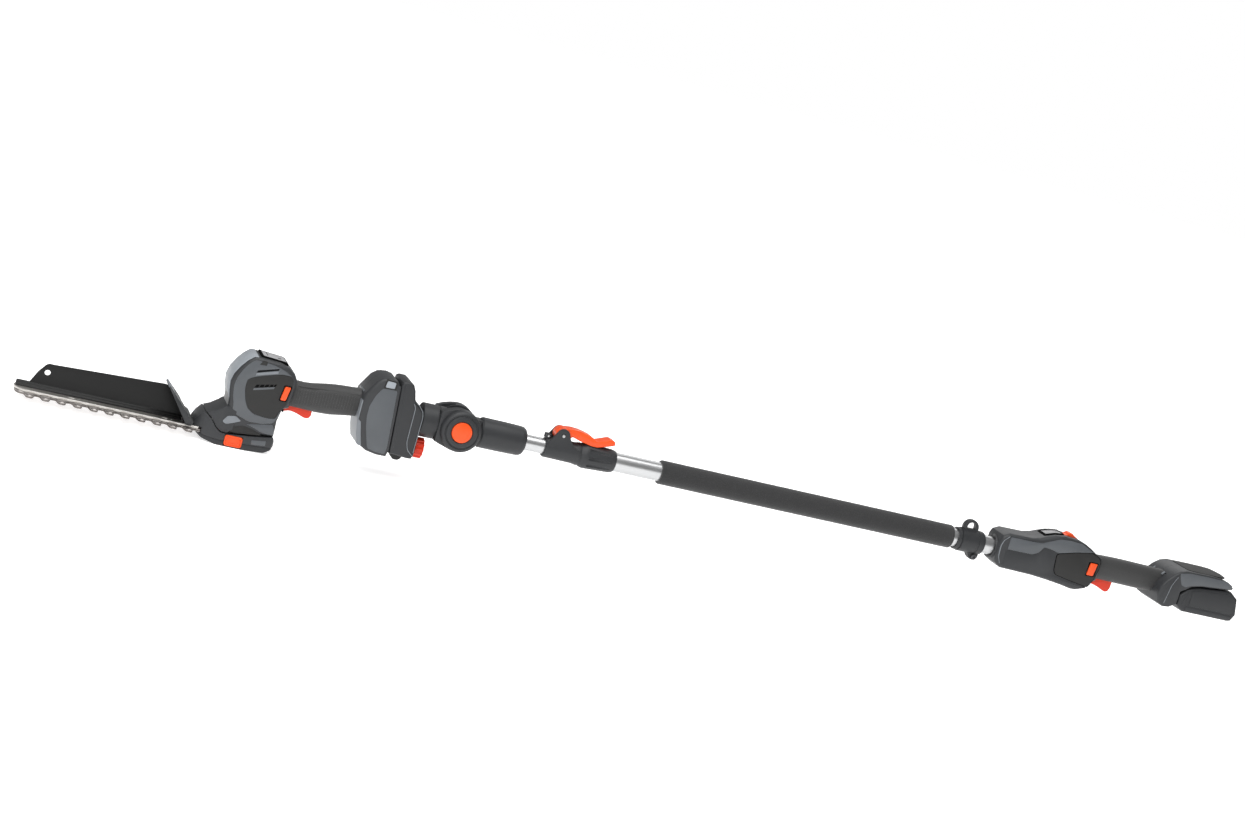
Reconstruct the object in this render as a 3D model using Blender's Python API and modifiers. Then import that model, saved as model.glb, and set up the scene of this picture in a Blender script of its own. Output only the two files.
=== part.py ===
"""Battery shrub trimmer on a telescoping pole with a tilting head.

Sizes are millimetres in the pole's own frame: the tilt axis is at x = z = 0, +X runs
along the pole towards the battery, the blade points to -X and +Z is up. Objects are
placed in metres, with the world origin under the middle of the whole tool.
"""

import math

import bmesh
import bpy
from mathutils import Matrix, Vector

MM = 0.001
ORIGIN_X = 313.1
ORIGIN_Z = 82.5
GAP = 0.3
COLLECTION = "pole_trimmer"

# Blade
BLADE_TIP_X = -552.0
BLADE_HALF = 35.0
BAR_HALF = 22.0
BAR_TOP = -66.5
BAR_THICK = 2.5
BLADE_THICK = 1.8
TOOTH_PITCH = 19.6
TOOTH_COUNT = 11
FIRST_TOOTH_X = -533.0
SCREW_XS = (-477.0, -362.0)
CRANK_X = -285.0
CRANK_THROW = 5.0

# Trimmer
HEAD_HALF = 27.0
HANDLE_HALF = 16.0
FOOT_HALF = 28.0
SHELL_WALL = 3.0
MOTOR_X = -267.0
LOCK_BAR_FRONT = (-236.0, -226.0, -10.0, 8.0)
TRIGGER_FRONT_PIN = (-223.0, -13.0)
FOOT_FACE = (-85.0, -46.0)
FOOT_SLANT = math.radians(4.3)

# Tilting joint
SLEEVE_FRONT_R = 22.0
SLEEVE_REAR_R = 20.0
CHEEK_R = 27.0
CHEEK_FACE = 33.5
CHEEK_INNER = 10.8
EYE_R = 24.0
EYE_HALF = 10.3
AXLE_R = 4.0
BUTTON_R = 13.5
KNOB_Z = -37.3
KNOB_R = 12.4

# Pole
INNER_R = 10.5
OUTER_R = 12.75
TUBE_WALL = 1.2
INNER_TUBE_X = (60.3, 700.0)
OUTER_TUBE_X = (172.0, 830.0)
FOAM_X = (283.0, 722.0)
FOAM_R = 16.1
CLAMP_PIN = (138.5, 21.0)
CLAMP_COLLAR_X = (168.0, 218.0)
STRAP_X = (729.0, 771.0)

# Control housing
HOUSING_HALF = 23.5
GRIP_HALF = 16.0
DOCK_HALF = 34.0
LOCK_BAR_REAR = (930.5, 943.5, -6.5, 11.5)
TRIGGER_REAR_PIN = (956.0, -8.0)
BATTERY_HALF = 35.0
CELL_R = 9.1
CELL_LENGTH = 65.0
CELL_COUNT = 5
CELL_PITCH = 18.02
FIRST_CELL = (1093.2, -13.8)

COLOURS = {
    "graphite": ((0.055, 0.057, 0.062), 0.5, 0.0),
    "dark_insert": ((0.025, 0.025, 0.028), 0.6, 0.0),
    "soft_grip": ((0.03, 0.03, 0.032), 0.85, 0.0),
    "orange": ((0.85, 0.10, 0.02), 0.4, 0.0),
    "red": ((0.62, 0.03, 0.01), 0.4, 0.0),
    "aluminium": ((0.75, 0.76, 0.78), 0.3, 1.0),
    "steel": ((0.6, 0.59, 0.58), 0.35, 1.0),
    "black_steel": ((0.03, 0.03, 0.03), 0.5, 0.3),
    "foam": ((0.035, 0.035, 0.037), 0.95, 0.0),
    "display": ((0.6, 0.6, 0.62), 0.3, 0.0),
    "copper": ((0.6, 0.3, 0.15), 0.4, 1.0),
    "board": ((0.02, 0.12, 0.05), 0.6, 0.0),
}

TURN_Y = Matrix.Rotation(math.radians(90.0), 4, "X")
TURN_X = Matrix(((0, 0, 1, 0), (1, 0, 0, 0), (0, 1, 0, 0), (0, 0, 0, 1)))
TURNS = {"X": TURN_X, "Y": TURN_Y, "Z": Matrix.Identity(4)}


def clear_scene():
    """Remove every object left from an earlier run."""
    for item in list(bpy.data.objects):
        bpy.data.objects.remove(item, do_unlink=True)
    for group in list(bpy.data.collections):
        bpy.data.collections.remove(group)


def new_collection(name):
    """Add a collection to the scene."""
    group = bpy.data.collections.new(name)
    bpy.context.scene.collection.children.link(group)
    return group


def material(name):
    """Make or fetch one of the named finishes."""
    found = bpy.data.materials.get(name)
    if found:
        return found
    colour, roughness, metallic = COLOURS[name]
    made = bpy.data.materials.new(name)
    made.use_nodes = True
    shader = made.node_tree.nodes["Principled BSDF"]
    shader.inputs["Base Color"].default_value = (*colour, 1.0)
    shader.inputs["Roughness"].default_value = roughness
    shader.inputs["Metallic"].default_value = metallic
    return made


def evaluated_bmesh(item):
    """Read an object with its modifiers, weld it, and remove the object."""
    bpy.context.view_layer.update()
    graph = bpy.context.evaluated_depsgraph_get()
    mesh = bpy.data.meshes.new_from_object(item.evaluated_get(graph))
    bm = bmesh.new()
    bm.from_mesh(mesh)
    bmesh.ops.remove_doubles(bm, verts=bm.verts, dist=1e-3)
    bmesh.ops.recalc_face_normals(bm, faces=bm.faces)
    bpy.data.objects.remove(item, do_unlink=True)
    bpy.data.meshes.remove(mesh)
    return bm


def whole_caps(bm):
    """Replace the triangles of an extruded outline's two caps by one face each."""
    flat = [face for face in bm.faces if len({round(vert.co.z, 2) for vert in face.verts}) == 1]
    bmesh.ops.delete(bm, geom=flat, context="FACES")
    rims = [edge for edge in bm.edges if edge.is_boundary]
    bmesh.ops.holes_fill(bm, edges=rims, sides=0)
    bmesh.ops.recalc_face_normals(bm, faces=bm.faces)


def prism(outline, low, high, axis="Y"):
    """Extrude a flat outline (mm) from low to high along an axis."""
    curve = bpy.data.curves.new("outline", "CURVE")
    curve.dimensions = "2D"
    curve.fill_mode = "BOTH"
    curve.extrude = (high - low) / 2.0
    spline = curve.splines.new("POLY")
    spline.points.add(len(outline) - 1)
    for point, (across, up) in zip(spline.points, outline):
        point.co = (across, up, 0.0, 1.0)
    spline.use_cyclic_u = True
    item = bpy.data.objects.new("outline", curve)
    bpy.context.scene.collection.objects.link(item)
    bm = evaluated_bmesh(item)
    whole_caps(bm)
    middle = (high + low) / 2.0
    offset = {"X": (middle, 0, 0), "Y": (0, middle, 0), "Z": (0, 0, middle)}[axis]
    bmesh.ops.transform(bm, matrix=Matrix.Translation(offset) @ TURNS[axis], verts=bm.verts)
    return bm


def cylinder(axis, centre, radius, low, high, segments=24, end_radius=None):
    """Cylinder or cone along an axis; centre holds the other two coordinates."""
    bm = bmesh.new()
    last = radius if end_radius is None else end_radius
    bmesh.ops.create_cone(bm, cap_ends=True, segments=segments, radius1=radius,
                          radius2=last, depth=high - low)
    middle = (high + low) / 2.0
    first, second = centre
    places = {"X": (middle, first, second), "Y": (first, middle, second),
              "Z": (first, second, middle)}
    turns = {"X": Matrix.Rotation(math.radians(90.0), 4, "Y"),
             "Y": Matrix.Rotation(math.radians(-90.0), 4, "X"),
             "Z": Matrix.Identity(4)}
    matrix = Matrix.Translation(places[axis]) @ turns[axis]
    bmesh.ops.transform(bm, matrix=matrix, verts=bm.verts)
    return bm


def box(x_range, y_range, z_range):
    """Axis-aligned box from three ranges."""
    bm = bmesh.new()
    bmesh.ops.create_cube(bm, size=1.0)
    ranges = (x_range, y_range, z_range)
    scale = Matrix.Diagonal([high - low for low, high in ranges] + [1.0])
    centre = Matrix.Translation([(high + low) / 2.0 for low, high in ranges])
    bmesh.ops.transform(bm, matrix=centre @ scale, verts=bm.verts)
    return bm


def turned(profile, segments=32):
    """Turn a closed (x, radius) profile about the pole's axis."""
    mesh = bpy.data.meshes.new("profile")
    points = [(radius, 0.0, along) for along, radius in profile]
    edges = [(i, (i + 1) % len(points)) for i in range(len(points))]
    edges = [(a, b) for a, b in edges if points[a][0] > 0.0 or points[b][0] > 0.0]
    mesh.from_pydata(points, edges, [])
    item = bpy.data.objects.new("profile", mesh)
    bpy.context.scene.collection.objects.link(item)
    screw = item.modifiers.new("Screw", "SCREW")
    screw.steps = segments
    screw.render_steps = segments
    screw.use_merge_vertices = True
    screw.merge_threshold = 0.0001
    bm = evaluated_bmesh(item)
    turn = Matrix.Rotation(math.radians(90.0), 4, "Y")
    bmesh.ops.transform(bm, matrix=turn, verts=bm.verts)
    return bm


def tube(x_range, outer, inner, segments=32):
    """Plain tube on the pole's axis."""
    start, end = x_range
    return turned([(start, inner), (start, outer), (end, outer), (end, inner)], segments)


def arc(centre, radius, start, end, steps):
    """Points along an arc, angles in degrees."""
    points = []
    for i in range(steps + 1):
        angle = math.radians(start + (end - start) * i / steps)
        points.append((centre[0] + radius * math.cos(angle), centre[1] + radius * math.sin(angle)))
    return points


def mirrored(outline):
    """Close a half outline by mirroring it across the x axis."""
    return outline + [(x, -y) for x, y in reversed(outline) if abs(y) > 1e-6]


def inset(outline, distance):
    """Move every side of an outline inwards; works for either direction of travel."""
    count = len(outline)
    area = sum(outline[i - 1][0] * outline[i][1] - outline[i][0] * outline[i - 1][1]
               for i in range(count))
    side = 1.0 if area > 0 else -1.0
    points = []
    for i in range(count):
        before = (Vector(outline[i]) - Vector(outline[i - 1])).normalized()
        after = (Vector(outline[(i + 1) % count]) - Vector(outline[i])).normalized()
        normal_a = Vector((-before.y, before.x)) * side
        normal_b = Vector((-after.y, after.x)) * side
        reach = distance / max(0.45, 1.0 + normal_a.dot(normal_b))
        corner = Vector(outline[i]) + (normal_a + normal_b) * reach
        points.append(tuple(corner))
    return points


def add_object(name, bm, finish, pivot=(0.0, 0.0, 0.0), group=COLLECTION):
    """Turn a bmesh in pole millimetres into an object whose origin is the pivot."""
    bmesh.ops.transform(bm, matrix=Matrix.Translation(-Vector(pivot)), verts=bm.verts)
    bmesh.ops.scale(bm, vec=(MM, MM, MM), verts=bm.verts)
    mesh = bpy.data.meshes.new(name)
    bm.to_mesh(mesh)
    bm.free()
    mesh.shade_smooth()
    mesh.set_sharp_from_angle(angle=math.radians(35.0))
    item = bpy.data.objects.new(name, mesh)
    item.location = (Vector(pivot) + Vector((-ORIGIN_X, 0.0, ORIGIN_Z))) * MM
    bpy.data.collections[group].objects.link(item)
    if finish:
        mesh.materials.append(material(finish))
    return item


def cutter(name, bm):
    """Keep a shape that only cuts or joins others."""
    item = add_object("cut_" + name, bm, None, group="cutters")
    item.hide_render = True
    item.display_type = "WIRE"
    return item


def combine(item, operation, *tools):
    """Cut or join an object with other shapes."""
    for tool in tools:
        step = item.modifiers.new(tool.name, "BOOLEAN")
        step.operation = operation
        step.solver = "EXACT"
        step.object = tool
    return item


def cut(item, *tools):
    """Take shapes away from an object."""
    return combine(item, "DIFFERENCE", *tools)


def join(item, *tools):
    """Add shapes to an object."""
    return combine(item, "UNION", *tools)


def round_edges(item, width, segments=2, angle=50.0):
    """Round the edges that turn more than the angle."""
    step = item.modifiers.new("Bevel", "BEVEL")
    step.width = width * MM
    step.segments = segments
    step.limit_method = "ANGLE"
    step.angle_limit = math.radians(angle)
    step.use_clamp_overlap = True
    return item


# ---------------------------------------------------------------- blade cassette

COVER_OUTLINE = [(-333, -69), (-332, -60), (-328, -53), (-321, -45.5), (-312, -52.5), (-305, -61.5),
                 (-298, -66.2), (-290, -66.7), (-262, -63.7), (-231.5, -59.3), (-229, -66),
                 (-229.5, -72.6), (-260, -74.4), (-300, -75.8), (-318, -74.6)]
PLATE_OUTLINE = [(-332, -70), (-318, -75), (-300, -76.2), (-260, -74.8), (-230, -73.1),
                 (-232, -76.5), (-240, -80.8), (-264, -82.5), (-302, -82.5), (-320, -78.5)]


def cassette_plan(half):
    """Plan outline of the cassette: a narrow nose that widens to the head."""
    return mirrored([(-334, 0), (-334, half - 13), (-326, half - 8), (-313.5, half - 3), (-299.5, half),
                     (-240, half), (-231, half - 3), (-228, half - 9), (-228, 0)])


def tooth_edge():
    """One side of a blade's plan outline, from the tip to the root, teeth out at +Y."""
    points = [(BLADE_TIP_X + 1, 0.0), (BLADE_TIP_X + 2, 12.0), (BLADE_TIP_X + 6, 19.0)]
    for i in range(TOOTH_COUNT):
        middle = FIRST_TOOTH_X + i * TOOTH_PITCH
        points += [(middle - 6.0, 20.5), (middle - 2.8, BLADE_HALF), (middle + 2.8, BLADE_HALF),
                   (middle + 6.0, 20.5), (middle + TOOTH_PITCH / 2, 19.4)]
    points += [(-322.0, 20.5), (-318.0, 18.0), (-250.0, 18.0), (-250.0, 0.0)]
    return points


def make_blade(name, top):
    """One reciprocating blade: toothed strip with screw slots and a window for the cam."""
    pivot = (CRANK_X, 0.0, top)
    blade = add_object(name, prism(mirrored(tooth_edge()), top - BLADE_THICK, top, "Z"), "steel", pivot)
    depth = (top - BLADE_THICK - 1, top + 1)
    for i, x in enumerate(SCREW_XS):
        slot = box((x - 10.0, x + 10.0), (-3.4, 3.4), depth)
        cut(blade, cutter(f"{name}_slot_{i}", slot))
    window = box((CRANK_X - 17.5, CRANK_X + 17.5), (-13.5, 13.5), depth)
    return cut(blade, cutter(name + "_window", window))


def make_support_bar():
    """Flat steel bar over the blades, with a round tip."""
    start = BLADE_TIP_X
    half = [(start, 0.0), (start + 0.7, 6.0), (start + 3.0, 12.0), (start + 7.0, 17.0),
            (start + 13.0, 20.5), (start + 20.0, BAR_HALF), (-325.0, BAR_HALF), (-320.0, 17.0),
            (-309.0, 16.0), (-309.0, 0.0)]
    bar = add_object("support_bar", prism(mirrored(half), BAR_TOP - BAR_THICK, BAR_TOP, "Z"), "steel")
    for i, x in enumerate(SCREW_XS):
        hole = cylinder("Z", (x, 0.0), 3.0, BAR_TOP - 4, BAR_TOP + 1, 16)
        cut(bar, cutter(f"bar_hole_{i}", hole))
    return bar


def make_blade_screws():
    """Shouldered screws that guide the blades under the bar."""
    bottom = BAR_TOP - BAR_THICK - 2 * BLADE_THICK - 3 * GAP
    for name, x in zip(("blade_screw_front", "blade_screw_rear"), SCREW_XS):
        screw = add_object(name, cylinder("Z", (x, 0.0), 2.7, bottom, BAR_TOP + 0.5, 16), "steel")
        head = cylinder("Z", (x, 0.0), 5.0, bottom - 1.6, bottom, 20)
        join(screw, cutter(name + "_head", head))


def make_cuttings_plate():
    """Upright plate along the blade that sweeps the cuttings aside."""
    outline = [(-545, -61.5), (-535.5, -61.5), (-527, -45)] + arc((-513.5, -42), 9.0, 150, 100, 3)
    outline += [(-512, -33.4), (-372, -26.6), (-346, -61.5), (-346, -66.0), (-548, -66.0)]
    plate = add_object("cuttings_plate", prism(outline, -1.5, 1.5), "black_steel")
    rail = plate_rail_form()
    hole = cylinder("Y", (-516, -44.5), 3.6, -3, 3, 20)
    screw_rooms = []
    for i, x in enumerate(SCREW_XS):
        room = cylinder("Z", (x, 0.0), 3.4, BAR_TOP - 1, BAR_TOP + 1.5, 16)
        screw_rooms.append(cutter(f"plate_screw_room_{i}", room))
    join(plate, rail)
    return cut(plate, cutter("plate_hole", hole), *screw_rooms)


def plate_rail_form():
    """Foot of the cuttings plate that lies on the bar."""
    outline = mirrored([(-549, 0), (-549, 4), (-546, 7), (-350, 7), (-346, 4), (-346, 0)])
    return cutter("plate_rail", prism(outline, BAR_TOP + GAP, BAR_TOP + 4.5, "Z"))


def make_blade_guard():
    """Slanted deflector between the blade and the hand."""
    outline = [(-371.5, -25.5), (-369.5, -24.5), (-350, -44), (-341, -55), (-334.3, -58.5), (-334, -64.5),
               (-337, -66.1), (-342, -66.1), (-345, -60.5)]
    guard = add_object("blade_guard", prism(outline, -33.0, 33.0), "graphite")
    front_view = [(-30, -68), (30, -68), (33, -50), (30, -34), (20, -22), (-20, -22), (-30, -34), (-33, -50)]
    combine(guard, "INTERSECT", cutter("guard_shape", prism(front_view, -380, -330, "X")))
    return cut(guard, cutter("guard_rail_room", box((-350, -344.5), (-8, 8), (-70, -61.5))))


def make_cassette():
    """Cover, base plate and side release buttons of the blade cassette."""
    cavity = cutter("cassette_cavity", box((-340, -243.5), (-18.6, 18.6), (-73.9, BAR_TOP + 0.4)))
    bar_mouth = cutter("cassette_mouth", box((-340, -309.5), (-23, 23), (-73.9, BAR_TOP + 0.4)))
    well = cutter("crank_well", cylinder("Z", (CRANK_X, 0.0), 12.0, -70, -50, 24))
    plan = cutter("cassette_plan", prism(cassette_plan(29.0), -90, -30, "Z"))
    cover = add_object("cassette_cover", prism(COVER_OUTLINE, -29, 29), "graphite")
    round_edges(cover, 3.0)
    combine(cover, "INTERSECT", plan)
    inner = cutter("release_backing", box((-295, -264), (-20, 20), (-84, -60)))
    lobes = cutter("release_pocket", box((-291.6, -268.4), (-40, 40), (-81.2, -66.8)))
    cut(lobes, inner)
    cut(cover, cavity, bar_mouth, well, lobes)
    plate = add_object("cassette_plate", prism(PLATE_OUTLINE, -29, 29), "graphite")
    round_edges(plate, 3.0)
    combine(plate, "INTERSECT", plan)
    cut(plate, lobes, bar_mouth)
    for side, name in ((-1, "near"), (1, "far")):
        span = sorted((side * 23.2, side * 30.5))
        button = add_object("release_button_" + name, box((-291.2, -268.8), span, (-80.8, -67.2)),
                            "orange", (-280.0, side * 23.2, -74.0))
        round_edges(button, 1.6)


# ---------------------------------------------------------------- trimmer

HEAD_OUTLINE = [(-271, 36.5), (-279, 36), (-286, 30), (-293, 21), (-299, 10), (-301.5, 0), (-300, -12),
                (-296.5, -24), (-296, -31), (-302, -36), (-312, -42.5), (-320.6, -45.1), (-311.6, -52),
                (-304.6, -61), (-297.8, -65.7), (-290, -66.2), (-262, -63.2), (-231.5, -58.8),
                (-231.5, -48), (-232, -38), (-229, -22), (-222, -19), (-219, 16), (-224.5, 25),
                (-233, 31.5), (-245, 35)]
HANDLE_OUTLINE = [(-236, 8), (-226, 14.5), (-206, 13), (-196, 14), (-181, 17), (-161, 19.5), (-141, 20.5),
                  (-120, 23), (-110, 23), (-110, -14), (-131, -14), (-146, -16), (-166, -19.5),
                  (-186, -20.5), (-204, -20), (-236, -20)]
FOOT_OUTLINE = [(-134, 20), (-127.5, 31), (-122, 40), (-115, 45.5), (-104, 47.5), (-96.5, 46), (-92.1, 41),
                (-91.5, 30), (-85.6, -38), (-85.2, -47), (-86.5, -53), (-100, -53), (-114, -50.5),
                (-122, -46), (-126, -32), (-130, -16), (-134, -13)]
PANEL_OUTLINE = [(-281, 6), (-281, -6), (-277, -20), (-272, -29), (-263, -34.5), (-247, -36),
                 (-236, -35), (-233.5, -26), (-226.5, -16), (-224.5, 2), (-224.5, 16), (-227, 21),
                 (-240, 21.5), (-262, 15), (-274, 10.5)]
TRIGGER_OUTLINE = [(-227.5, -10), (-196, -10.5), (-190, -13), (-188.5, -18), (-188.7, -27), (-192, -30.6),
                   (-197, -30.6), (-207, -27), (-216, -25.2), (-222, -26.5), (-227.5, -29.3)]


def slanted(x_range, y_range, z_range):
    """Box given from the foot's slanted face: x across the face, z along it."""
    bm = box(x_range, y_range, z_range)
    place = Matrix.Translation((FOOT_FACE[0], 0.0, FOOT_FACE[1]))
    turn = Matrix.Rotation(-FOOT_SLANT, 4, "Y")
    bmesh.ops.transform(bm, matrix=place @ turn, verts=bm.verts)
    return bm


def trimmer_cutters():
    """Hollows and openings of the trimmer's two-part shell."""
    x0, x1, z0, z1 = LOCK_BAR_FRONT
    head_room = inset(HEAD_OUTLINE, SHELL_WALL + 0.5)
    return [
        cutter("head_room", prism(head_room, 5.0 - HEAD_HALF, HEAD_HALF - 5.0)),
        cutter("gear_door", cylinder("Z", (CRANK_X, 0.0), 10.5, -80, -40, 24)),
        cutter("handle_room", prism(inset(HANDLE_OUTLINE, SHELL_WALL), 3 - HANDLE_HALF, HANDLE_HALF - 3)),
        cutter("foot_room", prism([(-124, 30), (-106, 40), (-103, 30), (-102, -30), (-112, -44), (-121, -20)],
                                  4.0 - FOOT_HALF, FOOT_HALF - 4.0)),
        cutter("rail_neck_room", slanted((-7.0, 4.0), (-10.4, 10.4), (-20.0, 71.0))),
        cutter("rail_head_room", slanted((-13.0, -6.6), (-16.4, 16.4), (-20.0, 71.0))),
        cutter("trigger_slot", box((-229.0, -187.0), (-7.6, 7.6), (-32.0, -9.0))),
        cutter("lock_bar_front_room", box((x0 - 0.4, x1 + 0.4), (-40, 40), (z0 - 0.4, z1 + 0.4))),
        cutter("display_room", prism([(-269.5, 40), (-235, 38), (-235, 31.2), (-269.5, 34)], -18.4, 18.4)),
    ]


def make_trimmer_shells():
    """Near and far shells: head, handle and battery foot in one moulding each."""
    handle = cutter("handle_form", prism(HANDLE_OUTLINE, -HANDLE_HALF, HANDLE_HALF))
    round_edges(handle, 8.0, 3, 70.0)
    foot = cutter("foot_form", prism(FOOT_OUTLINE, -FOOT_HALF, FOOT_HALF))
    round_edges(foot, 4.0)
    hollows = trimmer_cutters()
    for side, name in ((-1, "near"), (1, "far")):
        shell = add_object("trimmer_shell_" + name, prism(HEAD_OUTLINE, -HEAD_HALF, HEAD_HALF), "graphite")
        round_edges(shell, 4.5)
        join(shell, handle, foot)
        recess = sorted((side * (HEAD_HALF - 2.2), side * 40.0))
        panel_room = cutter("panel_room_" + name, prism(inset(PANEL_OUTLINE, -0.35), *recess))
        other = cutter("trimmer_half_" + name, box((-400, 0), sorted((-side * 60.0, side * 0.15)), (-90, 90)))
        cut(shell, *hollows, panel_room, other)
        make_side_panel(name, side)


def make_side_panel(name, side):
    """Dark vent panel set into one side of the head."""
    span = sorted((side * (HEAD_HALF - 1.9), side * (HEAD_HALF + 0.6)))
    panel = add_object("vent_panel_" + name, prism(PANEL_OUTLINE, *span), "dark_insert")
    x0, x1, z0, z1 = LOCK_BAR_FRONT
    hole = cutter("panel_bar_room_" + name, box((x0 - 0.4, x1 + 0.4), (-40, 40), (z0 - 0.4, z1 + 0.4)))
    vents = []
    for i, low in enumerate((-4.0, 4.0)):
        vent = prism([(-271, low - 1), (-241, low + 6), (-241, low + 9), (-271, low + 2)], -40, 40)
        vents.append(cutter(f"vent_{name}_{i}", vent))
    return cut(panel, hole, *vents)


def gear_outline(teeth, module, centre):
    """Gear outline with slack, straight-sided teeth."""
    pitch_r = teeth * module / 2.0
    points = []
    for i in range(teeth):
        base = i / teeth * math.tau
        half = math.tau / teeth
        for share, radius in ((-0.26, pitch_r - 1.05 * module), (-0.1, pitch_r + 0.75 * module),
                              (0.1, pitch_r + 0.75 * module), (0.26, pitch_r - 1.05 * module)):
            angle = base + share * half
            points.append((centre[0] + radius * math.cos(angle), centre[1] + radius * math.sin(angle)))
    return points


def turned_outline(points, centre, degrees):
    """Turn a plan outline about a point."""
    turn = Matrix.Rotation(math.radians(degrees), 2)
    middle = Vector(centre)
    return [tuple(middle + turn @ (Vector(point) - middle)) for point in points]


def make_drive():
    """Motor, pinion, drive gear, its axle and the cam that works the blades."""
    motor = add_object("motor", cylinder("Z", (MOTOR_X, 0.0), 17.5, -29, 25, 24), "steel", (MOTOR_X, 0, 0))
    join(motor, cutter("motor_boss", cylinder("Z", (MOTOR_X, 0.0), 6.0, -36, -28, 16)))
    pinion_at = (MOTOR_X, 0.0, -40.0)
    outline = turned_outline(gear_outline(10, 1.0, (MOTOR_X, 0.0)), (MOTOR_X, 0.0), 18.0)
    add_object("motor_pinion", prism(outline, -48, -38.5, "Z"), "steel", pinion_at)
    wheel = gear_outline(26, 1.0, (CRANK_X, 0.0))
    gear = add_object("drive_gear", prism(wheel, -47.0, -41.0, "Z"), "steel", (CRANK_X, 0.0, -40.0))
    join(gear, cutter("gear_hub", cylinder("Z", (CRANK_X, 0.0), 9.0, -57, -42, 20)))
    cut(gear, cutter("gear_bore", cylinder("Z", (CRANK_X, 0.0), 3.1, -51, -30, 16)),
        cutter("gear_socket", box((CRANK_X - 4.4, CRANK_X + 4.4), (-4.4, 4.4), (-60, -50.4))))
    add_object("gear_axle", cylinder("Z", (CRANK_X, 0.0), 2.9, -50, -37.0, 16), "steel")
    cam = add_object("blade_cam", box((CRANK_X - 4, CRANK_X + 4), (-4, 4), (-68.0, -51)), "steel",
                     (CRANK_X, 0.0, -70.0))
    upper = BAR_TOP - BAR_THICK - GAP
    lower = upper - BLADE_THICK - GAP
    join(cam,
         cutter("cam_top", cylinder("Z", (CRANK_X, 0.0), 10.5, -68.6, -67.2, 24)),
         cutter("cam_upper", cylinder("Z", (CRANK_X + CRANK_THROW, 0.0), 6.0, upper - 1.8, -68.5, 20)),
         cutter("cam_lower", cylinder("Z", (CRANK_X - CRANK_THROW, 0.0), 6.0, lower - 1.7, upper - 1.6, 20)))


def make_trimmer_controls():
    """Display, lock bar, trigger and switch of the trimmer."""
    display = prism([(-269, 38.2), (-266, 37.6), (-238, 35.8), (-235.4, 34.2), (-235.4, 31.8), (-269, 34.6)],
                    -18, 18)
    round_edges(add_object("trimmer_display", display, "display"), 1.2, 1)
    x0, x1, z0, z1 = LOCK_BAR_FRONT
    bar = add_object("lock_bar_front", box((x0, x1), (-28.8, 28.8), (z0, z1)), "orange",
                     ((x0 + x1) / 2, 0.0, (z0 + z1) / 2))
    round_edges(bar, 1.5)
    pin = (TRIGGER_FRONT_PIN[0], 0.0, TRIGGER_FRONT_PIN[1])
    trigger = add_object("trigger_front", prism(TRIGGER_OUTLINE, -7, 7), "red", pin)
    round_edges(trigger, 2.2)
    add_object("switch_front", box((-216, -196), (-6, 6), (-5, 8)), "dark_insert")


# ---------------------------------------------------------------- tilting joint

ADAPTER_OUTLINE = [(-90.6, 42), (-89.4, 46), (-86, 47.5), (-78, 47.5), (-74, 45), (-70.5, 38), (-68, 28),
                   (-66, 24), (-60, 20), (-54.5, 14), (-52, 8), (-52, -44), (-54, -49), (-60, -49.5),
                   (-83.9, -47.5)]


def make_adapter():
    """Block that plugs into the trimmer's battery rail, with its latch and thumb screw."""
    block = add_object("adapter_block", prism(ADAPTER_OUTLINE, -27, 27), "graphite")
    round_edges(block, 3.0)
    neck = cutter("rail_neck", slanted((-7.5, 4.0), (-10.0, 10.0), (2.0, 70.0)))
    head = cutter("rail_head", slanted((-12.6, -7.0), (-16.0, 16.0), (2.0, 70.0)))
    join(neck, head)
    join(block, neck)
    latch_room = cutter("latch_room", box((-79.4, -60.6), (-10.4, 10.4), (-60, -39)))
    bore = cutter("adapter_bore", cylinder("X", (0.0, KNOB_Z), 3.3, -81, -40, 16))
    cut(block, latch_room, bore)
    outline = [(-79, -44), (-61, -44), (-61.3, -50), (-64, -55.5), (-67, -57.5), (-73, -57.5), (-76, -55),
               (-78.5, -50)]
    latch = add_object("adapter_latch", prism(outline, -10, 10), "dark_insert", (-70, 0, -44))
    round_edges(latch, 1.5)
    knob_at = (-44.0, 0.0, KNOB_Z)
    outline = []
    for i in range(12):
        for share, radius in ((-0.3, KNOB_R), (-0.2, KNOB_R + 1.2), (0.2, KNOB_R + 1.2), (0.3, KNOB_R)):
            angle = math.radians(30.0 * (i + share))
            outline.append((radius * math.sin(angle), KNOB_Z + radius * math.cos(angle)))
    knob = add_object("adapter_knob", prism(outline, -49, -37.5, "X"), "red", knob_at)
    join(knob, cutter("knob_neck", cylinder("X", (0.0, KNOB_Z), 9.5, -51.7, -48, 24)))
    cut(knob, cutter("knob_bore", cylinder("X", (0.0, KNOB_Z), 3.3, -55, -41, 16)))
    add_object("adapter_screw", cylinder("X", (0.0, KNOB_Z), 3.0, -80, -41.3, 16), "steel", knob_at)


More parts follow.
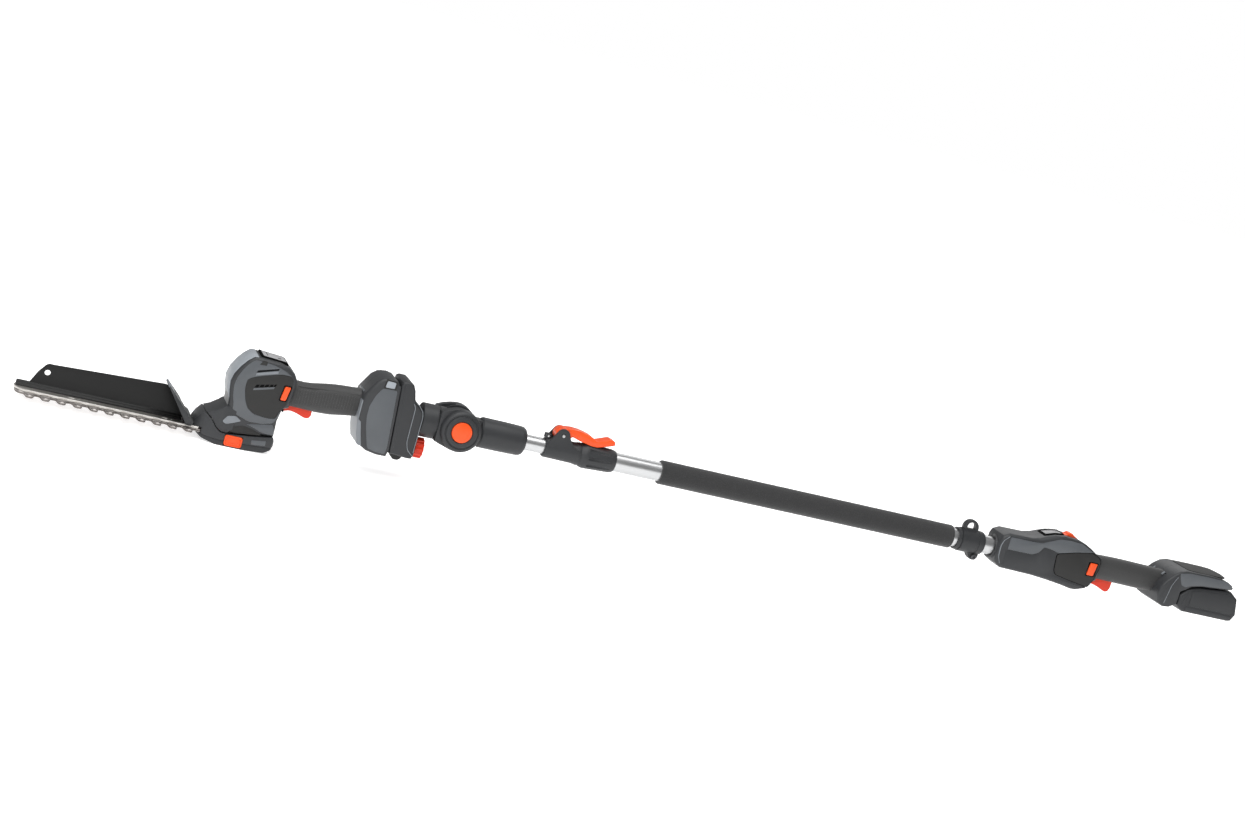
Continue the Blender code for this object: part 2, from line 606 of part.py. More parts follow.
def make_front_knuckle():
    """Sleeve and two round cheeks that carry the adapter."""
    profile = [(-51.5, 0.0), (-51.5, SLEEVE_FRONT_R), (-24, SLEEVE_FRONT_R + 0.3), (-18, 22), (-18, 0)]
    knuckle = add_object("front_knuckle", turned(profile, 28), "graphite", (0, 0, 0))
    for side, name in ((-1, "near"), (1, "far")):
        span = sorted((side * (CHEEK_INNER + 0.4), side * CHEEK_FACE))
        cheek = cutter("cheek_" + name, cylinder("Y", (0, 0), CHEEK_R, *span, 32))
        round_edges(cheek, 3.0, 1)
        join(knuckle, cheek)
    fork = arc((0, 0), EYE_R + 1.2, 90, 270, 20) + [(40, -EYE_R - 1.2), (40, EYE_R + 1.2)]
    cut(knuckle, cutter("eye_room", prism(fork, -CHEEK_INNER, CHEEK_INNER)),
        cutter("axle_room", cylinder("Y", (0, 0), AXLE_R + GAP, -50, 50, 20)))
    for side, name in ((-1, "near"), (1, "far")):
        span = sorted((side * 18.9, side * 40))
        cut(knuckle, cutter("button_room_" + name, cylinder("Y", (0, 0), BUTTON_R + 0.3, *span, 28)))
        button_span = sorted((side * 23.5, side * (CHEEK_FACE + 0.8)))
        button = add_object("pivot_button_" + name, cylinder("Y", (0, 0), BUTTON_R, *button_span, 28),
                            "orange", (0, side * 23.5, 0))
        round_edges(button, 0.8, 1)
    add_object("pivot_axle", cylinder("Y", (0, 0), AXLE_R, -18.5, 18.5, 20), "steel")


def make_rear_knuckle():
    """Sleeve with the eye that the cheeks turn about."""
    profile = [(28.5, 0), (28.5, 17.5), (30.5, SLEEVE_REAR_R), (84, 19.2), (89.5, 17.8), (92, 14.5),
               (92, INNER_R + GAP), (60, INNER_R + GAP), (60, 0)]
    knuckle = add_object("rear_knuckle", turned(profile, 28), "graphite", (0, 0, 0))
    join(knuckle, cutter("eye", cylinder("Y", (0, 0), EYE_R, -EYE_HALF, EYE_HALF, 32)),
         cutter("tongue", box((4, 36), (-EYE_HALF, EYE_HALF), (-16.5, 16.5))))
    cut(knuckle, cutter("eye_bore", cylinder("Y", (0, 0), AXLE_R + 0.06, -50, 50, 20)))


# ---------------------------------------------------------------- pole

def make_tubes():
    """Sliding inner tube with its bush, and the outer tube."""
    add_object("inner_tube", tube(INNER_TUBE_X, INNER_R, INNER_R - TUBE_WALL), "aluminium",
               (INNER_TUBE_X[0], 0, 0))
    end = INNER_TUBE_X[1]
    bush = [(end - 20, 0), (end - 20, 8.9), (end + 0.3, 8.9), (end + 0.3, 11.35), (end + 30, 11.35),
            (end + 32, 9.5), (end + 32, 0)]
    add_object("tube_bush", turned(bush, 24), "soft_grip", (end, 0, 0))
    add_object("outer_tube", tube(OUTER_TUBE_X, OUTER_R, OUTER_R - TUBE_WALL), "aluminium")
    start, stop = FOAM_X
    foam = [(start, OUTER_R + GAP), (start, FOAM_R - 1.5), (start + 1.5, FOAM_R), (stop - 1.5, FOAM_R),
            (stop, FOAM_R - 1.5), (stop, OUTER_R + GAP)]
    add_object("foam_grip", turned(foam, 32), "foam")


def make_clamp():
    """Lever clamp that holds the inner tube."""
    px, pz = CLAMP_PIN
    bore = INNER_R + 0.35
    sleeve = [(120, bore), (118.5, 12.2), (120, 13.8), (160, 14.2), (167.7, 15.5), (167.7, bore)]
    body = add_object("clamp_body", turned(sleeve, 28), "dark_insert")
    ear = [(120, 3), (124, 16)] + arc((px, pz), 9.0, 160, 45, 6) + [(152, 18), (167, 6), (167, -4), (120, -4)]
    for side, name in ((-1, "near"), (1, "far")):
        span = sorted((side * 10.2, side * 13.6))
        join(body, cutter("ear_" + name, prism(ear, *span)))
    cut(body, cutter("clamp_bore", cylinder("X", (0, 0), bore, 100, 200, 28)),
        cutter("clamp_pin_room", cylinder("Y", (px, pz), 2.3, -30, 30, 16)),
        cutter("clamp_split", box((116, 150), (-1.2, 1.2), (0, 30))),
        cutter("lever_window", box((128, 150), (-9.9, 9.9), (5, 30))))
    x0, x1 = CLAMP_COLLAR_X
    collar = [(x0, OUTER_R + 0.1), (x0, 14.5), (x0 + 6, 17.3), (x1 - 6, 15.4), (x1 - 1.5, 14.6), (x1, 13.6),
              (x1, OUTER_R + 0.1)]
    ring = add_object("clamp_collar", turned(collar, 30), "dark_insert")
    for i in range(10):
        angle = math.radians(18.0 + 36.0 * i)
        centre = (17.4 * math.sin(angle), 17.4 * math.cos(angle))
        groove = cylinder("X", centre, 1.7, x0 + 12, x1 - 6, 6, 1.4)
        cut(ring, cutter(f"collar_groove_{i}", groove))
    lever = arc((px, pz), 10.0, 300, 78, 12)
    lever += [(150, 32), (168, 30), (179, 27), (186, 22.8), (203, 30.5), (211.5, 25), (209.5, 22.6),
              (200, 18.5), (187, 14), (180, 14.5), (165, 18), (152, 21.5), (147, 16.5)]
    handle = add_object("clamp_lever", prism(lever, -9.6, 9.6), "orange", (px, 0, pz))
    round_edges(handle, 1.6)
    cut(handle, cutter("lever_bore", cylinder("Y", (px, pz), 2.3, -30, 30, 16)),
        cutter("lever_saddle", cylinder("X", (0, 0), 17.8, 160, 230, 36)))
    add_object("clamp_pin", cylinder("Y", (px, pz), 2.0, -14.2, 14.2, 16), "steel", (px, 0, pz))


def make_strap_collar():
    """Clamped collar with the eyelet for the shoulder strap."""
    x0, x1 = STRAP_X
    bore = OUTER_R + GAP
    ring = [(x0, bore), (x0, 15.2), (x0 + 1.5, 16.6), (x1 - 9, 16.6), (x1 - 8.4, 15.9), (x1 - 7.8, 16.6),
            (x1 - 3, 16.2), (x1, 14.4), (x1, bore)]
    collar = add_object("strap_collar", turned(ring, 28), "graphite")
    eye = arc((748, 19.0), 11.4, -20, 200, 12)
    eye_form = cutter("strap_eye", prism(eye, -4, 4))
    lug = [(750, -12), (755, -21), (759, -24.5), (766, -24), (769, -19), (769, -12)]
    join(collar, eye_form, cutter("strap_lug", prism(lug, -6.5, 6.5)))
    hole = arc((748, 20.5), 6.3, 0, 180, 8) + [(741.7, 17.6), (754.3, 17.6)]
    cut(collar, cutter("strap_eye_hole", prism(hole, -10, 10)),
        cutter("strap_bore", cylinder("X", (0, 0), bore, x0 - 5, x1 + 5, 28)),
        cutter("strap_split", box((x0 - 5, x1 + 5), (-0.8, 0.8), (-30, -10))),
        cutter("strap_screw_room", cylinder("Y", (762, -19.6), 2.2, -20, 20, 12)))
    screw = add_object("strap_screw", cylinder("Y", (762, -19.6), 1.9, -7, 9, 12), "steel")
    join(screw, cutter("strap_screw_head", cylinder("Y", (762, -19.6), 4.0, -9.3, -6.8, 16)))


# ---------------------------------------------------------------- control housing

HOUSING_OUTLINE = [(788, -12), (788, 15), (791, 22), (800, 26.5), (836, 27), (848, 29.5), (858, 33.5),
                   (870, 37.5), (884, 39.5), (908, 38), (920, 34.5), (932, 29), (944, 22), (951, 20),
                   (951, -13), (945, -16), (942, -22), (936, -28), (924, -32), (916, -32.3), (898, -29.5),
                   (875, -27), (850, -25), (800, -24), (791, -19)]
GRIP_OUTLINE = [(935, 20), (965, 20.8), (985, 21), (1030, 20.2), (1072, 20), (1072, -13.5), (1030, -13.6),
                (980, -13), (935, -13)]
DOCK_OUTLINE = [(1059, -26), (1050, -22), (1045, -9), (1047, 4), (1053, 12), (1062, 22), (1071, 28.5),
                (1081, 31.5), (1120, 32), (1141, 31), (1152, 28), (1161, 22), (1160, 18.5), (1150, 16.8),
                (1110, 13.5), (1095, 10), (1088, 5), (1080, 0), (1079.5, -19), (1069, -25)]
REAR_PANEL_OUTLINE = [(877.5, 12), (880, -10), (884, -15.5), (905, -19), (938, -23.5), (943.5, -14),
                      (947.5, 4), (947, 17), (940, 22.5), (930, 25), (905, 20.5), (882, 14.5)]
TRIGGER_REAR_OUTLINE = [(953, -5), (982, -5.5), (985.5, -9), (985, -22), (982.5, -27.5), (978, -28.8),
                        (970, -25.5), (962, -22.8), (955, -21.5), (951.5, -20)]
BATTERY_OUTLINE = [(1080.5, -19), (1080.5, -4), (1086, 1.5), (1089, 5), (1096, 8), (1111, 11.5), (1150, 15),
                   (1161, 15.5), (1173, 7), (1177.5, -12), (1178.2, -16), (1173, -25.8), (1168, -27),
                   (1092, -27), (1086, -23.5)]


def control_cutters():
    """Hollows and openings of the control housing."""
    x0, x1, z0, z1 = LOCK_BAR_REAR
    grip_room = inset(GRIP_OUTLINE, SHELL_WALL)
    housing_room = inset(HOUSING_OUTLINE, SHELL_WALL + 0.3)
    dock_room = [(1052, -18), (1050, -6), (1056, 8), (1066, 20), (1075, 26), (1090, 27), (1090, 15),
                 (1078, 10), (1074, 2), (1074, -18)]
    rail_room = [(1086, 18), (1086, 4), (1165, 4), (1165, 25), (1086, 25)]
    return [
        cutter("housing_room", prism(housing_room, 4.6 - HOUSING_HALF, HOUSING_HALF - 4.6)),
        cutter("grip_room", prism(grip_room, SHELL_WALL - GRIP_HALF, GRIP_HALF - SHELL_WALL)),
        cutter("dock_room", prism(dock_room, -26, 26)),
        cutter("dock_rail_room", prism(rail_room, -17.4, 17.4)),
        cutter("tube_room", cylinder("X", (0, 0), OUTER_R + GAP, 780, 840, 32)),
        cutter("trigger_rear_slot", box((950.5, 987), (-7.6, 7.6), (-30, -8))),
        cutter("lock_bar_rear_room", box((x0 - 0.4, x1 + 0.4), (-40, 40), (z0 - 0.4, z1 + 0.4))),
        cutter("control_display_room", prism([(856, 50), (885, 50), (885, 33.5), (856, 27)], -12.4, 12.4)),
        cutter("slide_room", prism([(887, 50), (916, 50), (916, 33), (887, 33)], -7.4, 7.4)),
    ]


def make_control_shells():
    """Near and far shells of the control housing, rear grip and battery dock."""
    grip = cutter("grip_form", prism(GRIP_OUTLINE, -GRIP_HALF, GRIP_HALF))
    round_edges(grip, 8.5, 3, 70.0)
    dock = cutter("dock_form", prism(DOCK_OUTLINE, -DOCK_HALF, DOCK_HALF))
    round_edges(dock, 5.0)
    hollows = control_cutters()
    for side, name in ((-1, "near"), (1, "far")):
        shell = add_object("control_shell_" + name, prism(HOUSING_OUTLINE, -HOUSING_HALF, HOUSING_HALF),
                           "graphite")
        round_edges(shell, 5.5)
        join(shell, grip, dock)
        recess = sorted((side * (HOUSING_HALF - 2.2), side * 40.0))
        panel_room = cutter("rear_panel_room_" + name, prism(inset(REAR_PANEL_OUTLINE, -0.35), *recess))
        other = cutter("control_half_" + name, box((700, 1300), sorted((-side * 60.0, side * 0.15)), (-90, 90)))
        cut(shell, *hollows, panel_room, other)
        span = sorted((side * (HOUSING_HALF - 1.9), side * (HOUSING_HALF + 0.5)))
        panel = add_object("control_panel_" + name, prism(REAR_PANEL_OUTLINE, *span), "dark_insert")
        x0, x1, z0, z1 = LOCK_BAR_REAR
        hole = box((x0 - 0.4, x1 + 0.4), (-40, 40), (z0 - 0.4, z1 + 0.4))
        cut(panel, cutter("rear_panel_bar_room_" + name, hole))


def make_control_pieces():
    """Display, mode switch, lock bar, trigger and electronics of the control housing."""
    window = [(856.4, 33.6), (859, 35.4), (872, 39.4), (884.6, 41), (884.6, 34), (856.4, 27.4)]
    round_edges(add_object("control_display", prism(window, -12, 12), "display"), 0.8, 1)
    slider = [(888, 33.6), (888, 39.2), (893, 39.8), (896.5, 43.2), (900, 43.4), (907, 39.2), (910, 38.4),
              (910, 33.6)]
    mode = add_object("mode_switch", prism(slider, -7, 7), "orange", (888, 0, 36))
    round_edges(mode, 1.0, 1)
    x0, x1, z0, z1 = LOCK_BAR_REAR
    bar = add_object("lock_bar_rear", box((x0, x1), (-25.4, 25.4), (z0, z1)), "orange",
                     ((x0 + x1) / 2, 0, (z0 + z1) / 2))
    round_edges(bar, 1.5)
    pin = (TRIGGER_REAR_PIN[0], 0, TRIGGER_REAR_PIN[1])
    round_edges(add_object("trigger_rear", prism(TRIGGER_REAR_OUTLINE, -7, 7), "red", pin), 2.2)
    add_object("switch_rear", box((962, 982), (-6, 6), (1.5, 13)), "dark_insert")
    add_object("control_board", box((848, 918), (-17, 17), (14, 16)), "board")
    add_object("dock_terminals", box((1080.4, 1083.6), (-12, 12), (-16, -5)), "dark_insert")


def make_battery():
    """Battery case with its latch and the pack of five cells inside."""
    at = (1080.5, 0, 0)
    case = add_object("battery_case", prism(BATTERY_OUTLINE, -BATTERY_HALF, BATTERY_HALF), "graphite", at)
    round_edges(case, 3.5)
    rail = cutter("battery_rail", box((1092, 1157), (-16.8, 16.8), (5, 24.6)))
    join(case, rail)
    room_outline = [(1082.9, -3), (1082.9, -17.8), (1088, -22), (1093, -24.6), (1171.6, -24.6), (1175.2, -17),
                    (1173, -3)]
    room = cutter("cell_room", prism(room_outline, -33, 33))
    nose_room = cutter("terminal_room", box((1070, 1090), (-12.6, 12.6), (-16.6, -4.4)))
    latch_room = cutter("battery_latch_room", box((1157.4, 1172), (-10.4, 10.4), (2.0, 30)))
    cut(case, room, nose_room, latch_room)
    outline = [(1158, 6), (1158, 16), (1161, 17.4), (1165, 15.6), (1171.4, 10), (1171.4, 6)]
    latch = add_object("battery_latch", prism(outline, -10, 10), "dark_insert", (1165, 0, 6))
    round_edges(latch, 1.0, 1)
    half = CELL_LENGTH / 2.0
    first, height = FIRST_CELL
    pack = add_object("cell_pack", cylinder("Y", FIRST_CELL, CELL_R, -half, half, 16), "display", at)
    for i in range(1, CELL_COUNT):
        centre = (first + CELL_PITCH * i, height)
        join(pack, cutter(f"cell_{i}", cylinder("Y", centre, CELL_R, -half, half, 16)))


def build():
    """Make every piece of the tool."""
    clear_scene()
    new_collection(COLLECTION)
    new_collection("cutters")
    make_support_bar()
    upper = BAR_TOP - BAR_THICK - GAP
    make_blade("blade_upper", upper)
    make_blade("blade_lower", upper - BLADE_THICK - GAP)
    make_blade_screws()
    make_cuttings_plate()
    make_blade_guard()
    make_cassette()
    make_trimmer_shells()
    make_drive()
    make_trimmer_controls()
    make_adapter()
    make_front_knuckle()
    make_rear_knuckle()
    make_tubes()
    make_clamp()
    make_strap_collar()
    make_control_shells()
    make_control_pieces()
    make_battery()


build()
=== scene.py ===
"""Looks of the telescoping pole trimmer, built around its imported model.

Sizes are millimetres in the pole's own frame: the tilt axis is at x = z = 0, +X runs along
the pole towards the battery, -Y is the near side and +Z is up.
"""

import math
import bmesh
import bpy
from mathutils import Matrix, Vector


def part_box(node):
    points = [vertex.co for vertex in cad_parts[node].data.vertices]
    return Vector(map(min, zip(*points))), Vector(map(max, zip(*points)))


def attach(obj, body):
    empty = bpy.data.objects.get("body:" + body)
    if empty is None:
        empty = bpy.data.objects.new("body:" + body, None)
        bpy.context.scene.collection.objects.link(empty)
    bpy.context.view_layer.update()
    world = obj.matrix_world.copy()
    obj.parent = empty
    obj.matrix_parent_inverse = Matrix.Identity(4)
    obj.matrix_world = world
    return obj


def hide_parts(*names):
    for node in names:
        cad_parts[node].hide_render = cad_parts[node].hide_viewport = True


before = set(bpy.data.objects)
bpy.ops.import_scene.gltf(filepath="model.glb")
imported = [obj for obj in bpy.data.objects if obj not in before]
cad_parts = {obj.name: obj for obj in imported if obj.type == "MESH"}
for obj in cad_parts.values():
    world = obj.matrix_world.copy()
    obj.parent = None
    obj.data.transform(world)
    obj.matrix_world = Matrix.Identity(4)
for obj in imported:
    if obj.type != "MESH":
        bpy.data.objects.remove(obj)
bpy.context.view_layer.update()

bl_info = {
    "name": "Telescoping Pole Trimmer",
    "version": (1, 0, 0),
    "blender": (4, 5, 0),
    "location": "3D View > Sidebar > Pole Trimmer",
    "description": "Builds a battery trimmer on a telescoping pole, piece by piece",
    "category": "Add Mesh",
}

MM = 0.001
TILT_HEIGHT = 82.5
TILT_AXIS = Vector((-0.3131, 0.0, TILT_HEIGHT * MM))
WORLD = Matrix.Translation(TILT_AXIS) @ Matrix.Diagonal((MM, MM, MM, 1.0))


# ---------------------------------------------------------------- settings

class PoleTrimmerSettings(bpy.types.PropertyGroup):
    """Colours and sizes a user may change"""

    housing_colour: bpy.props.FloatVectorProperty(
        name="Housing", description="Colour of the moulded housings", subtype="COLOR",
        default=(0.031, 0.0325, 0.035), min=0.0, max=1.0)
    # The facet colour is the housing plastic painted lighter: a painted sheen where smooth facets
    # catch the light.
    facet_sheen_colour: bpy.props.FloatVectorProperty(
        name="Facets", description="Colour of the smooth facets on the housings", subtype="COLOR",
        default=(0.085, 0.092, 0.1), min=0.0, max=1.0)
    insert_colour: bpy.props.FloatVectorProperty(
        name="Inserts", description="Colour of the dark side panels", subtype="COLOR",
        default=(0.017, 0.017, 0.0165), min=0.0, max=1.0)
    accent_colour: bpy.props.FloatVectorProperty(
        name="Accent", description="Colour of buttons and lever", subtype="COLOR",
        default=(0.8, 0.075, 0.006), min=0.0, max=1.0)
    trigger_colour: bpy.props.FloatVectorProperty(
        name="Trigger", description="Colour of the triggers and the knob", subtype="COLOR",
        default=(0.6, 0.026, 0.003), min=0.0, max=1.0)
    grain: bpy.props.FloatProperty(
        name="Grain", description="Size of the moulded grain", unit="LENGTH", subtype="DISTANCE",
        default=0.0007, min=0.0001, max=0.01)
    rib_pitch: bpy.props.FloatProperty(
        name="Rib pitch", description="Distance between the ribs of the front handle",
        unit="LENGTH", subtype="DISTANCE", default=0.0036, min=0.001, max=0.02)
    tooth_grind: bpy.props.FloatProperty(
        name="Tooth grind", description="Width of the ground edge of the blades", unit="LENGTH",
        subtype="DISTANCE", default=0.0014, min=0.0002, max=0.003)


# ---------------------------------------------------------------- finishes

FINISHES = {}
SIDES = ((-1, "near"), (1, "far"))


class Nodes:
    """A material and short ways to add nodes to it."""

    def __init__(self, name):
        self.material = bpy.data.materials.new(name)
        self.material.use_nodes = True
        self.tree = self.material.node_tree
        self.shader = self.tree.nodes["Principled BSDF"]
        self.place = self.tree.nodes.new("ShaderNodeTexCoord").outputs["Object"]

    def link(self, output, target):
        self.tree.links.new(output, target)

    def mapped(self, scale):
        """Object coordinates stretched by three scales."""
        node = self.tree.nodes.new("ShaderNodeMapping")
        node.inputs["Scale"].default_value = scale
        self.link(self.place, node.inputs["Vector"])
        return node.outputs["Vector"]

    def noise(self, scale, detail=3.0, where=None, rough=0.5):
        node = self.tree.nodes.new("ShaderNodeTexNoise")
        node.inputs["Scale"].default_value = scale
        node.inputs["Detail"].default_value = detail
        node.inputs["Roughness"].default_value = rough
        self.link(where or self.place, node.inputs["Vector"])
        return node.outputs["Fac"]

    def cells(self, scale):
        node = self.tree.nodes.new("ShaderNodeTexVoronoi")
        node.inputs["Scale"].default_value = scale
        self.link(self.place, node.inputs["Vector"])
        return node.outputs["Distance"]

    def spread(self, value, low, high):
        """Turn a 0 to 1 pattern into another range."""
        node = self.tree.nodes.new("ShaderNodeMapRange")
        node.inputs["To Min"].default_value = low
        node.inputs["To Max"].default_value = high
        self.link(value, node.inputs["Value"])
        return node.outputs["Result"]

    def tones(self, value, first, second):
        """Colour that wanders between two tones with a pattern."""
        node = self.tree.nodes.new("ShaderNodeMix")
        node.data_type = "RGBA"
        node.inputs["A"].default_value = (*first, 1.0)
        node.inputs["B"].default_value = (*second, 1.0)
        self.link(value, node.inputs["Factor"])
        return node.outputs["Result"]

    def relief(self, height, depth, strength=1.0, under=None):
        node = self.tree.nodes.new("ShaderNodeBump")
        node.inputs["Strength"].default_value = strength
        node.inputs["Distance"].default_value = depth
        self.link(height, node.inputs["Height"])
        if under:
            self.link(under, node.inputs["Normal"])
        return node.outputs["Normal"]


def shade(colour, factor):
    """A colour made lighter or darker."""
    return tuple(min(1.0, channel * factor) for channel in colour)


def moulded(name, colour, roughness, grain, depth, coat=0.0, specular=0.35):
    """Moulded plastic: fine grain, faint flow marks and uneven gloss."""
    make = Nodes(name)
    cloud = make.noise(28.0, 4.0)
    make.link(make.tones(cloud, shade(colour, 0.86), shade(colour, 1.14)),
              make.shader.inputs["Base Color"])
    fine = make.noise(1.0 / grain, 2.0)
    pits = make.cells(0.8 / grain)
    make.link(make.spread(cloud, roughness - 0.05, roughness + 0.06),
              make.shader.inputs["Roughness"])
    base = make.relief(fine, depth)
    make.link(make.relief(pits, depth * 0.6, 0.6, base), make.shader.inputs["Normal"])
    make.shader.inputs["Coat Weight"].default_value = coat
    make.shader.inputs["Coat Roughness"].default_value = 0.25
    make.shader.inputs["Specular IOR Level"].default_value = specular
    return make.material


def drawn_metal(name, colour, roughness, along, depth, streak=0.12):
    """Metal with fine lines along one axis: drawn tube or brushed sheet."""
    make = Nodes(name)
    scale = [900.0, 900.0, 900.0]
    scale["XYZ".index(along)] = 6.0
    lines = make.noise(1.0, 4.0, make.mapped(scale), 0.6)
    cloud = make.noise(22.0, 3.0)
    make.link(make.tones(lines, shade(colour, 1.0 - streak), shade(colour, 1.0 + streak)),
              make.shader.inputs["Base Color"])
    make.link(make.spread(cloud, roughness - 0.05, roughness + 0.08),
              make.shader.inputs["Roughness"])
    make.link(make.relief(lines, depth), make.shader.inputs["Normal"])
    make.shader.inputs["Metallic"].default_value = 1.0
    return make.material


def build_finishes(settings):
    """Make every finish once."""
    grain = settings.grain
    housing = tuple(settings.housing_colour)
    facet = tuple(settings.facet_sheen_colour)
    insert = tuple(settings.insert_colour)
    accent = tuple(settings.accent_colour)
    trigger = tuple(settings.trigger_colour)
    plastics = {
        "housing": ("housing_plastic", housing, 0.42, 0.00003),
        # The facet finish and its two lighter copies below are one plastic: the facet is a painted
        # sheen, the brighter copy a painted highlight and the pale copy a stronger painted
        # highlight.
        "facet": ("facet_plastic", facet, 0.36, 0.00002),
        "bright_facet": ("bright_facet_plastic", shade(facet, 2.1), 0.4, 0.00002),
        "insert": ("insert_plastic", insert, 0.55, 0.00006),
        # Near-black and almost without reflection: painted shade in gaps and slots, behind the
        # lower vents and on the guard's face; also used for the dark seams, panel borders and
        # display frames.
        "seam": ("seam_shadow", (0.003, 0.003, 0.003), 0.85, 0.00002, 0.0, 0.08),
        "pale_facet": ("pale_facet_plastic", shade(facet, 3.4), 0.42, 0.00002),
        "accent": ("accent_plastic", accent, 0.38, 0.00002, 0.1),
        "trigger": ("trigger_plastic", trigger, 0.4, 0.00002, 0.1),
        "coupling": ("coupling_plastic", shade(housing, 0.82), 0.46, 0.00005),
        "display": ("display_cover", (0.4, 0.4, 0.41), 0.3, 0.00001, 0.2),
        "smoked": ("smoked_display", (0.17, 0.17, 0.175), 0.25, 0.00001, 0.3),
        "board": ("circuit_board", (0.02, 0.12, 0.05), 0.4, 0.00003),
        "cell_wrap": ("cell_wrap", (0.2, 0.32, 0.45), 0.3, 0.00001, 0.3),
    }
    for finish, (name, colour, roughness, *rest) in plastics.items():
        FINISHES[finish] = moulded(name, colour, roughness, grain, *rest)
    metals = {
        "tube": ("tube_aluminium", (0.52, 0.525, 0.53), 0.3, "X", 0.000015, 0.06),
        "bar_steel": ("bar_steel", (0.6, 0.58, 0.55), 0.4, "Y", 0.00003, 0.22),
        "blade_steel": ("blade_steel", (0.42, 0.395, 0.38), 0.5, "Y", 0.00003, 0.25),
        "machine_steel": ("machine_steel", (0.5, 0.5, 0.5), 0.32, "Z", 0.00002, 0.1),
        "dark_steel": ("dark_steel", (0.09, 0.09, 0.095), 0.4, "Y", 0.00002, 0.2),
    }
    for finish, values in metals.items():
        FINISHES[finish] = drawn_metal(*values)
    FINISHES["grip"] = rubber("grip_rubber", (0.027, 0.027, 0.027), 0.62, grain * 1.6, 0.00008)
    FINISHES["foam"] = foam_finish()
    FINISHES["plate"] = coated_plate()


def rubber(name, colour, roughness, grain, depth):
    """Soft rubber with a leathery grain."""
    make = Nodes(name)
    cloud = make.noise(35.0, 3.0)
    cells = make.cells(1.0 / grain)
    make.link(make.tones(cells, shade(colour, 0.85), shade(colour, 1.2)),
              make.shader.inputs["Base Color"])
    make.link(make.spread(cloud, roughness - 0.06, roughness + 0.06),
              make.shader.inputs["Roughness"])
    make.link(make.relief(cells, depth), make.shader.inputs["Normal"])
    make.shader.inputs["Sheen Weight"].default_value = 0.15
    return make.material


def foam_finish():
    """Closed-cell foam: open pores, dull and slightly uneven."""
    make = Nodes("closed_cell_foam")
    pores = make.cells(900.0)
    waves = make.noise(60.0, 5.0)
    make.link(make.tones(pores, (0.017, 0.017, 0.017), (0.034, 0.034, 0.035)),
              make.shader.inputs["Base Color"])
    make.link(make.spread(waves, 0.82, 0.95), make.shader.inputs["Roughness"])
    soft = make.relief(waves, 0.0004, 0.5)
    make.link(make.relief(pores, 0.0003, 0.7, soft), make.shader.inputs["Normal"])
    make.shader.inputs["Sheen Weight"].default_value = 0.25
    make.shader.inputs["Specular IOR Level"].default_value = 0.3
    return make.material


def coated_plate():
    """Powder-coated plate with a fine orange-peel surface."""
    make = Nodes("coated_plate")
    peel = make.noise(420.0, 2.0)
    cloud = make.noise(14.0, 3.0)
    make.link(make.tones(cloud, (0.007, 0.007, 0.007), (0.012, 0.012, 0.012)),
              make.shader.inputs["Base Color"])
    make.link(make.spread(cloud, 0.34, 0.46), make.shader.inputs["Roughness"])
    make.link(make.relief(peel, 0.00006), make.shader.inputs["Normal"])
    make.shader.inputs["Specular IOR Level"].default_value = 0.25
    return make.material


# ---------------------------------------------------------------- mesh helpers

def on_axis(axis, across, up, along):
    """A point of a flat outline, at a distance along the axis it is extruded on."""
    return {"X": (along, across, up), "Y": (across, along, up), "Z": (across, up, along)}[axis]


def dome(inset, rise, steps=4):
    """Inset steps that round an edge like a quarter ellipse."""
    angles = [math.pi / 2 * i / steps for i in range(steps + 1)]
    return [(inset * (math.cos(a) - math.cos(b)), rise * (math.sin(b) - math.sin(a)))
            for a, b in zip(angles, angles[1:])]


def slab(outline, low, high, axis="Y", low_crown=(), high_crown=()):
    """Extrude an outline from low to high, then step each end inwards as its crown says."""
    bm = bmesh.new()
    face = bm.faces.new([bm.verts.new(on_axis(axis, a, b, low)) for a, b in outline])
    made = bmesh.ops.extrude_face_region(bm, geom=[face])["geom"]
    moved = [item for item in made if isinstance(item, bmesh.types.BMVert)]
    top = next(item for item in made if isinstance(item, bmesh.types.BMFace))
    bmesh.ops.translate(bm, vec=on_axis(axis, 0.0, 0.0, high - low), verts=moved)
    bmesh.ops.recalc_face_normals(bm, faces=bm.faces)
    for cap, crown in ((face, low_crown), (top, high_crown)):
        for inset, rise in crown:
            bmesh.ops.inset_region(bm, faces=[cap], thickness=inset, depth=rise,
                                   use_even_offset=True, use_boundary=True)
    return bm


def pillow(outline, half, inset, rise, steps=3):
    """Shape across the pole with both sides rounded alike."""
    return slab(outline, -half, half, "Y", dome(inset, rise, steps), dome(inset, rise, steps))


def rod(axis, centre, radius, low, high, segments=48, bevel=0.0, end_radius=None):
    """Round bar or cone along an axis, with rounded ends."""
    bm = bmesh.new()
    last = radius if end_radius is None else end_radius
    bmesh.ops.create_cone(bm, cap_ends=True, segments=segments, radius1=radius, radius2=last,
                          depth=high - low)
    turn = {"X": Matrix.Rotation(math.pi / 2, 4, "Y"), "Y": Matrix.Rotation(-math.pi / 2, 4, "X"),
            "Z": Matrix.Identity(4)}[axis]
    place = Matrix.Translation(on_axis(axis, centre[0], centre[1], (low + high) / 2.0))
    bmesh.ops.transform(bm, matrix=place @ turn, verts=bm.verts)
    if bevel:
        soften(bm, bevel, 3)
    return bm


def block(x_range, y_range, z_range, bevel=0.0):
    """Box from three ranges, with rounded edges."""
    bm = bmesh.new()
    bmesh.ops.create_cube(bm, size=1.0)
    ranges = (x_range, y_range, z_range)
    scale = Matrix.Diagonal([high - low for low, high in ranges] + [1.0])
    centre = Matrix.Translation([(high + low) / 2.0 for low, high in ranges])
    bmesh.ops.transform(bm, matrix=centre @ scale, verts=bm.verts)
    if bevel:
        soften(bm, bevel, 3)
    return bm


